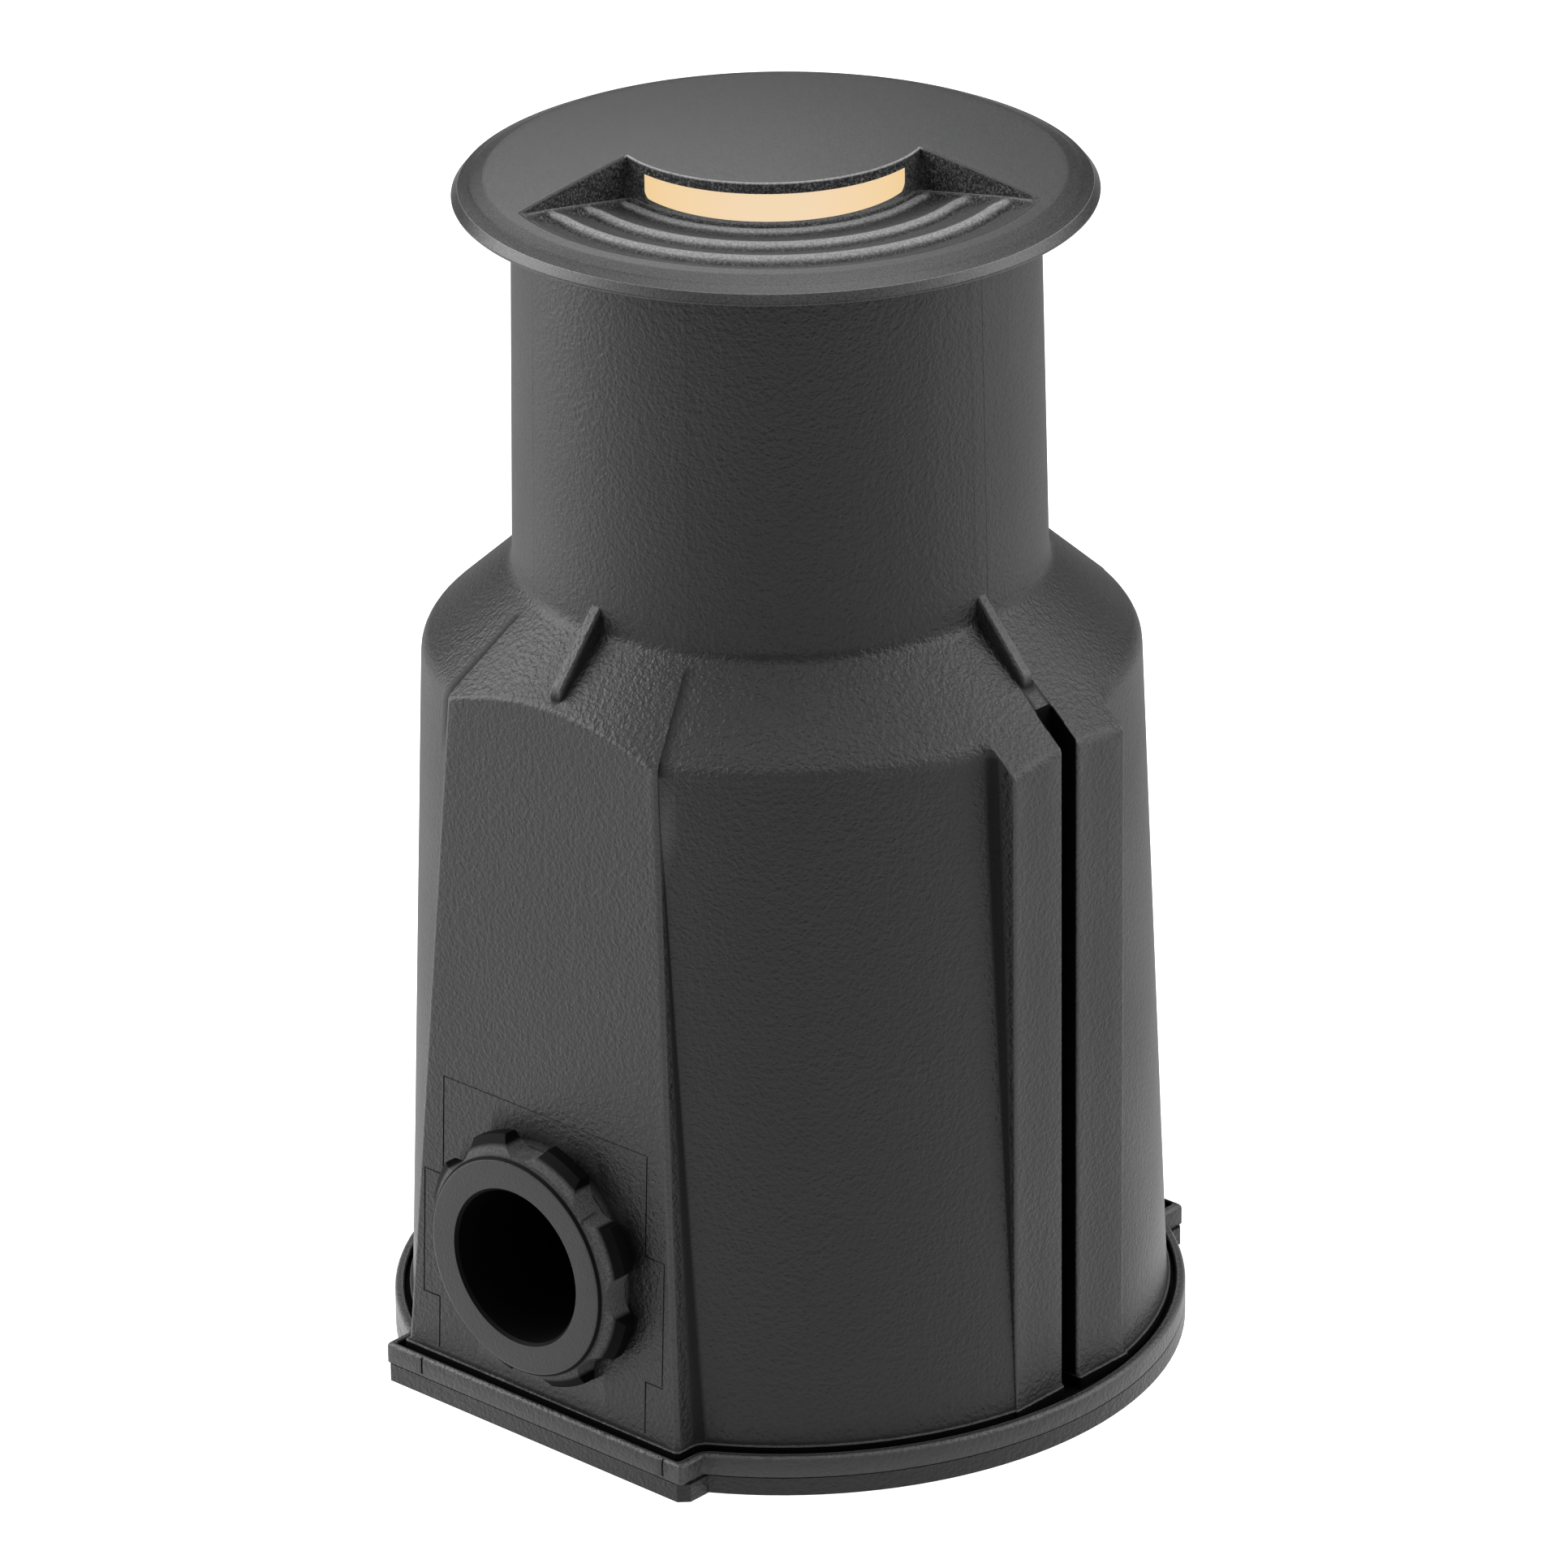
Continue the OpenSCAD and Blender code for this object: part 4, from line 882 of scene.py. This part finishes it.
def plate_blank():
    """The domed plate with its bevelled rim and the boss under it, before any cut."""
    profile = [(0, BOSS_BOTTOM), (BOSS_R - 0.3, BOSS_BOTTOM), (BOSS_R, BOSS_BOTTOM + 0.3)]
    profile += [(BOSS_R, PLATE_BOTTOM - 0.3)]
    profile += [curved(profile[-1], (BOSS_R, PLATE_BOTTOM), (BOSS_R + 0.3, PLATE_BOTTOM), t)
                for t in steps(3)]
    profile += [(PLATE_R - 0.45, PLATE_BOTTOM)]
    profile += arc((PLATE_R - 0.4, PLATE_BOTTOM + 0.4), 0.4, -90, 20, 6)
    profile += arc((PLATE_R - 1, PLATE_BOTTOM + 1.25), 0.3, 20, 75, 4)
    profile += [(PLATE_R - 2.1, PLATE_BOTTOM + 2.02), (PLATE_R - 2.2, PLATE_BOTTOM + 2.13),
                (PLATE_R - 2.35, PLATE_BOTTOM + 2.2), (PLATE_R - 3.8, DOME_EDGE - 0.07)]
    profile += [(r, dome_z(r, 0)) for r in [DOME_R - 0.2] + [DOME_R * (1 - t) for t in steps(24)]]
    return spun(profile)


def side_distance(x, y):
    """Distance from the scoop's side walls, in plan."""
    dx, dy = SIDE_TIP[0] - SIDE_CORNER[0], SIDE_TIP[1] - SIDE_CORNER[1]
    return ((SIDE_CORNER[0] - abs(x)) * dy - (SIDE_CORNER[1] - y) * dx) / math.hypot(dx, dy)


def hooked(t, away):
    """The ropes' ends bend forward along the side walls."""
    return t - HOOK * max(0, 1 - away / HOOK_REACH) ** 2


def floor_z(t, x, y):
    """Height of the scoop's floor, with its ropes and the ridge along the side walls."""
    z = FLOOR_BACK_Z + FLOOR_RISE * t
    away = side_distance(x, y)
    along = hooked(t, away)
    depth = 0
    for crest, low, end, drop in ROPES:
        if crest < along < low:
            depth = drop * (1 - math.cos(math.pi / 2 * (along - crest) / (low - crest)))
        elif low <= along < end:
            depth = drop * (1 - ((along - low) / (end - low)) ** 1.4)
    z -= depth * eased_step((away - 0.9) / 1.1)
    ridge = 0.3 * eased_step(1 - abs(away - 0.75) / 0.75)
    return z + ridge * eased_step((0.98 - t) / 0.3)


def scoop_columns(t, count):
    """Places on the floor's arc at t, from one side wall to the other."""
    radius = between(FLOOR_BACK_R, FLOOR_FRONT_R, t)
    back = -ROOF_BACK * (1 - t)
    if t < 0:
        radius, back = ROOF_R, -ROOF_BACK
    low, high = 0.0, math.radians(88)
    for _ in range(40):
        middle = (low + high) / 2
        if side_distance(radius * math.sin(middle), back + radius * math.cos(middle)) > 0:
            low = middle
        else:
            high = middle
    turns = [low * math.sin(math.pi / 2 * (2 * i / count - 1)) for i in range(count + 1)]
    return [(radius * math.sin(a), back + radius * math.cos(a)) for a in turns]


def scoop_cutter():
    """The scoop: its floor with the ropes, drawn up through the dome with a soft top edge."""
    count = 220
    shares = {round(0.014 * i, 4) for i in range(76)}
    for crest, low, _, _ in ROPES:
        shares |= {round(between(crest, low, i / 6), 4) for i in range(9)}
    shares = [-1] + sorted(shares)
    shape = bmesh.new()
    bmesh.ops.create_grid(shape, x_segments=count, y_segments=len(shares) - 1, size=1)
    shape.verts.ensure_lookup_table()
    for row, t in enumerate(shares):
        for column, (x, y) in enumerate(scoop_columns(t, count)):
            shape.verts[row * (count + 1) + column].co = (x, y, floor_z(max(t, 0), x, y))
    bmesh.ops.recalc_face_normals(shape, faces=shape.faces)
    edge = ROOF_EDGE
    turns = [math.radians(a) for a in (25, 50, 75)]
    rises = [(0, -edge)] + [(edge * (1 - math.cos(a)), edge * (math.sin(a) - 1)) for a in turns]
    rises.append((edge, None))
    loop = [e for e in shape.edges if e.is_boundary]
    base = {}
    for outward, rise in rises:
        grown = bmesh.ops.extrude_edge_only(shape, edges=loop)["geom"]
        loop = [e for e in grown if isinstance(e, bmesh.types.BMEdge)]
        new = [v for v in grown if isinstance(v, bmesh.types.BMVert)]
        places = {}
        fresh = set(new)
        for vert in new:
            neighbours = [e.other_vert(vert) for e in vert.link_edges]
            below = next(other for other in neighbours if other not in fresh)
            x, y = places[vert] = base.get(below, (below.co.x, below.co.y))
            push_x, push_y = wall_normal(x, y)
            z = CROWN + 2 if rise is None else max(dome_z(x, y) + rise, below.co.z + 0.003)
            vert.co = (x + push_x * outward, y + push_y * outward, z)
        base = places
    bmesh.ops.contextual_create(shape, geom=loop)
    bmesh.ops.recalc_face_normals(shape, faces=shape.faces)
    return shape


def wall_normal(x, y):
    """The way out of the scoop at a place on its border."""
    dx, dy = SIDE_TIP[0] - SIDE_CORNER[0], SIDE_TIP[1] - SIDE_CORNER[1]
    length = math.hypot(dx, dy)
    out_x = out_y = 0
    if side_distance(x, y) < 0.01:
        out_x, out_y = math.copysign(dy / length, x), -dx / length
    if abs(math.hypot(x, y + ROOF_BACK) - ROOF_R) < 0.01:
        out_x -= x / ROOF_R
        out_y -= (y + ROOF_BACK) / ROOF_R
    return out_x, out_y


def ring_sector(inner_r, outer_r, low, top, edge, half_angle, back):
    """Part of a ring round (0, -back) with a soft outer top edge."""
    start, end = (outer_r, top - edge), (outer_r - edge, top)
    profile = [(inner_r, low), (outer_r, low), start]
    profile += [curved(start, (outer_r, top), end, t) for t in steps(4)]
    profile += [(inner_r, top)]
    shape = bmesh.new()
    turn = Matrix.Rotation(-half_angle, 3, "Z")
    verts = [shape.verts.new(turn @ Vector((0, r, z)) - Vector((0, back, 0))) for r, z in profile]
    face = shape.faces.new(verts)
    bmesh.ops.spin(shape, geom=[face], axis=(0, 0, 1), cent=(0, -back, 0), steps=96,
                   angle=2 * half_angle)
    bmesh.ops.remove_doubles(shape, verts=shape.verts, dist=1e-5)
    bmesh.ops.recalc_face_normals(shape, faces=shape.faces)
    return shape


def window_cutter(material):
    """The window between the roof and the curb."""
    opening = block(-WINDOW_HALF_W, WINDOW_HALF_W, -LENS_BACK, 12, CURB_TOP - 0.5, ROOF_UNDER)
    low = [e for e in opening.edges if all(v.co.z < CURB_TOP for v in e.verts)]
    foot = [e for e in low if abs(e.verts[0].co.x - e.verts[1].co.x) < 0.1]
    bmesh.ops.bevel(opening, geom=foot, offset=1.6, segments=8, profile=0.5,
                    affect="EDGES", material=-1)
    piece = finished(opening, "opening", material)
    reach = upright(CURB_R + 0.5, 0, -ROOF_BACK, CURB_TOP - 1, ROOF_UNDER + 1, 160)
    return combined(piece, finished(reach, "reach", material), "INTERSECT")


def lens_room(material):
    """The space that the lens fills behind the window."""
    half_w = WINDOW_HALF_W + LENS_LAP + LENS_GAP
    room = upright(LENS_R + LENS_GAP, 0, -LENS_BACK, 0, ROOF_UNDER, 200)
    piece = finished(room, "room", material)
    limits = block(-half_w, half_w, -LENS_BACK, 40, BOSS_BOTTOM - 1, ROOF_UNDER + 1)
    return combined(piece, finished(limits, "limits", material), "INTERSECT")


def floor_share(x, y):
    """How far along the floor a place lies, from the roof's arc (0) to the front (1)."""
    a = y + ROOF_BACK
    rise = FLOOR_FRONT_R - FLOOR_BACK_R
    square = ROOF_BACK ** 2 - rise ** 2
    half = -(a * ROOF_BACK + FLOOR_BACK_R * rise)
    rest = x * x + a * a - FLOOR_BACK_R ** 2
    root = math.sqrt(max(0, half * half - square * rest))
    return (-half - root) / square


def highlight_and_pale_share(x, y, z, normal):
    """How pale each place is painted: painted highlight on the crests, edges and the rim's line,
    and paler on the curb and the floor's border.
    """
    radius = math.hypot(x, y)
    if z < PLATE_BOTTOM - 0.2 and radius > 25:
        return 0
    if radius > DOME_R + 0.5:
        return RIM_HIGHLIGHT * (abs(radius - RIM_LINE) < 0.02)
    below = dome_z(x, y) - z
    from_roof = math.hypot(x, y + ROOF_BACK)
    if below < 0.35:
        in_front = y > SIDE_CORNER[1] - 0.3
        return EDGE_HIGHLIGHT * (0.005 < below < 0.2 and abs(from_roof - ROOF_R) < 0.3 and in_front)
    if from_roof < CURB_R + 0.05 and z > CURB_TOP - 0.6 and y > -5 and normal.z > -0.1:
        return CURB_PALENESS
    away = side_distance(x, y)
    if normal.z < 0.35 or away < 0.2:
        return 0
    t = hooked(floor_share(x, y), away)
    fade = eased_step((away - 0.7) / 0.9)
    ridge = RIDGE_PALENESS * eased_step(1 - abs(away - 0.75) / 0.5)
    for crest, low, _, _ in ROPES:
        along = (t - crest) / (low - crest)
        if -0.4 < along < 0.85:
            rise, fall = eased_step((along + 0.4) / 0.4), eased_step((0.85 - along) / 0.4)
            return max(ridge, EDGE_HIGHLIGHT * fade * rise * fall)
    return ridge


def recess_share(x, y, z, _normal):
    """1 inside the scoop."""
    below = dome_z(x, y) - z
    inside = z > PLATE_BOTTOM - 3 and math.hypot(x, y) < 35.5 and side_distance(x, y) > -0.3
    return eased_step((below - 0.1) / 0.25) * inside


def make_faceplate(material):
    piece = finished(plate_blank(), "faceplate_shell", material)
    combined(piece, finished(scoop_cutter(), "scoop", material), "DIFFERENCE")
    combined(piece, window_cutter(material), "DIFFERENCE")
    curb = ring_sector(CURB_BACK_R, CURB_R, BOSS_BOTTOM + 0.5, CURB_TOP, 0.25, CURB_HALF_ANGLE,
                       ROOF_BACK)
    combined(piece, finished(curb, "curb", material), "UNION")
    combined(piece, lens_room(material), "DIFFERENCE")
    holes = merged([upright(PLATE_HOLE_R, x, y, BOSS_BOTTOM - 1, PLATE_HOLE_TOP, 48)
                    for x, y in PLATE_SCREWS])
    combined(piece, finished(holes, "holes", material), "DIFFERENCE")
    # Painted highlight on crests, edges and the rim's line; paler curb and ridge
    painted(piece, "painted_highlight_and_pale", highlight_and_pale_share)
    painted(piece, "recess", recess_share)
    piece.data.transform(Matrix.Rotation(AIM, 4, "Z") @ Matrix.Scale(MM, 4))
    shaded(piece, 30)
    placed(piece, "light_unit", "faceplate")


# Copies of modelled nodes with soft edges
FLAT_ANGLE, SOFT_ANGLE = math.radians(0.4), math.radians(30)


def softened(node, width):
    """The node's mesh as whole faces with its edges rounded by width millimetres."""
    source = frame["nodes"][node].data
    shape = bmesh.new()
    shape.from_mesh(source)
    bmesh.ops.remove_doubles(shape, verts=shape.verts, dist=1e-6)
    bmesh.ops.dissolve_limit(shape, angle_limit=FLAT_ANGLE, verts=shape.verts, edges=shape.edges)
    smooth_to(shape, SOFT_ANGLE)
    piece = finished(shape, node + "_soft", source.materials[0])
    edges = piece.modifiers.new("edges", "BEVEL")
    edges.limit_method = "ANGLE"
    edges.angle_limit = SOFT_ANGLE
    edges.width = width * MM
    edges.segments = 2
    edges.use_clamp_overlap = True
    edges.harden_normals = True
    return piece


SOFT_NODES = (
    ("base_cover", "well", "black_moulding", 0.25),
    ("front_bushing", "front_entry", "bushing_plastic", 0.3),
    ("rear_bushing", "rear_entry", "bushing_plastic", 0.3),
    ("lamp_body", "light_unit", "raw_casting", 0.25),
    ("bottom_cap", "light_unit", "bushing_plastic", 0.25),
    ("cable_gland", "light_unit", "gland_nylon", 0.2),
)


def make_soft_nodes(side_finish):
    for node, body, slot, width in SOFT_NODES:
        piece = softened(node, width)
        if "bushing" in node:
            faced(piece, side_finish, lambda centre, normal: abs(normal.y) < 0.9)
        placed(piece, body, node)


# Light and surroundings. Each glow and rise runs from one height or direction to another
BACKDROP_RISE = (0.16, 0.26, 0, 1)
SIDE_RISE = (0.15, 0.4, 0, 1)
RIGHT_TO_LEFT = (-1, 1, 0.85, 1.2)
WALL_GLOW = (0.3, 0.42, 0.1, 0.3)
SKY_GLOW = (0.5, 0.95, 0.0, 0.45)
TOP_GLOW = (0.84, 0.97, 0.0, 0.8)
SIDE_GLOW = (0.45, 0.75, 0.0, 2.2)
BACKDROP_GLOW = (0.1, 0.26, 0.2, 0.0)
DIFFUSE_GLOW = 0.6
FLOOR_FRONT, FLOOR_LEFT, FLOOR_RIGHT, FLOOR_BACK = 1.05, 1.6, 1.25, 0.45
VIEW_BACK = (-math.sin(VIEW_AZIMUTH), math.cos(VIEW_AZIMUTH), 0)
TOP_LIGHT = (0.6 * VIEW_BACK[0], 0.6 * VIEW_BACK[1], 0.8)
VIEW_LEFT = (-math.cos(VIEW_AZIMUTH), -math.sin(VIEW_AZIMUTH), 0)
FLOOR_COLOUR = grey(0.82)
FLOOR_SIZE, FLOOR_GAP = 3, 0.02 * MM
MIDDLE = (0, 0, 0.08)
# Name, place, target, size and power of each area light
LIGHTS = (
    ("left_softbox", (-0.5, -0.3, 0.3), MIDDLE, (0.4, 0.6), 2.6),
    ("back_card", (-0.36, 0.26, 0.42), (0, 0, 0.15), (0.25, 0.2), 0.15),
    ("right_softbox", (0.75, 0.75, 0.5), MIDDLE, (0.7, 1.1), 5),
    ("top_softbox", (0.05, 0.1, 1.2), MIDDLE, (0.9, 0.9), 5),
)


def area_light(name, place, target, size, power):
    data = bpy.data.lights.new(name, "AREA")
    data.shape = "RECTANGLE"
    data.size, data.size_y = size
    data.energy = power
    light = bpy.data.objects.new(name, data)
    light.location = place
    aim = Vector(target) - Vector(place)
    light.rotation_mode = "QUATERNION"
    light.rotation_quaternion = aim.to_track_quat("-Z", "Y")
    bpy.context.scene.collection.objects.link(light)


def seen_directly(tree, path):
    return calculated(tree, "MAXIMUM", path.outputs["Is Camera Ray"],
                      path.outputs["Is Transmission Ray"])


def make_world():
    """White for the camera; for gloss, bright sides and top, and dark near the horizon."""
    world = bpy.data.worlds.new("studio")
    bpy.context.scene.world = world
    world.use_nodes = True
    tree = world.node_tree
    shader = tree.nodes["Background"]
    shader.inputs["Color"].default_value = (1, 1, 1, 1)
    direction = place_in(tree, "Generated")
    height = axis_of(tree, direction, "Z")
    side = towards(tree, direction, VIEW_LEFT)
    breadth = calculated(tree, "ABSOLUTE", side)
    gloss = added(tree, ramp(tree, height, *WALL_GLOW), ramp(tree, height, *SKY_GLOW))
    gloss = added(tree, gloss, ramp(tree, towards(tree, direction, TOP_LIGHT), *TOP_GLOW))
    backdrop = product(tree, ramp(tree, breadth, *BACKDROP_GLOW),
                       ramp(tree, height, *BACKDROP_RISE))
    sides = product(tree, ramp(tree, breadth, *SIDE_GLOW), ramp(tree, height, *SIDE_RISE))
    gloss = added(tree, gloss, added(tree, backdrop, sides))
    gloss = product(tree, gloss, ramp(tree, side, *RIGHT_TO_LEFT))
    path = node_of(tree, "ShaderNodeLightPath")
    lit = mixed_number(tree, path.outputs["Is Glossy Ray"], DIFFUSE_GLOW, gloss)
    seen = mixed_number(tree, seen_directly(tree, path), lit, 1.0)
    tree.links.new(seen, shader.inputs["Strength"])


def floor_finish():
    """White; for gloss it glows with a strength that differs round the object."""
    material, tree, shader = new_material("floor", FLOOR_COLOUR, 0.9, specular=0.0)
    path = node_of(tree, "ShaderNodeLightPath")
    away = node_of(tree, "ShaderNodeVectorMath", operation="NORMALIZE")
    tree.links.new(place_in(tree), away.inputs[0])
    table = FLOOR_FRONT
    for way, start, end, glow in ((VIEW_LEFT, 0.35, 1, FLOOR_LEFT),
                                  (VIEW_LEFT, -0.35, -1, FLOOR_RIGHT),
                                  (VIEW_BACK, 0.2, 1, FLOOR_BACK)):
        reach = towards(tree, away.outputs["Vector"], way)
        table = added(tree, ramp(tree, reach, start, end, 0, glow - FLOOR_FRONT), table)
    lit = mixed_number(tree, path.outputs["Is Glossy Ray"], 0.0, table)
    seen = mixed_number(tree, seen_directly(tree, path), lit, 0.8)
    tree.links.new(seen, shader.inputs["Emission Strength"])
    cover = colour_mix(tree, path.outputs["Is Glossy Ray"], FLOOR_COLOUR, grey(0.0))
    tree.links.new(cover, shader.inputs["Base Color"])
    shader.inputs["Emission Color"].default_value = (1, 1, 1, 1)
    return material


def make_floor():
    shape = bmesh.new()
    bmesh.ops.create_grid(shape, x_segments=1, y_segments=1, size=FLOOR_SIZE)
    bmesh.ops.translate(shape, verts=shape.verts, vec=(0, 0, -FLOOR_GAP))
    finished(shape, "floor", floor_finish())


def make_studio():
    make_world()
    make_floor()
    for light in LIGHTS:
        area_light(*light)
    bpy.context.scene.view_settings.view_transform = "Standard"


make_camera()
materials = make_materials()
finish_cad_nodes(materials)
make_housing(materials["black_moulding"], materials["dull_black"])
make_faceplate(materials["coated_casting"])
make_soft_nodes(materials["bushing_side"])
make_studio()
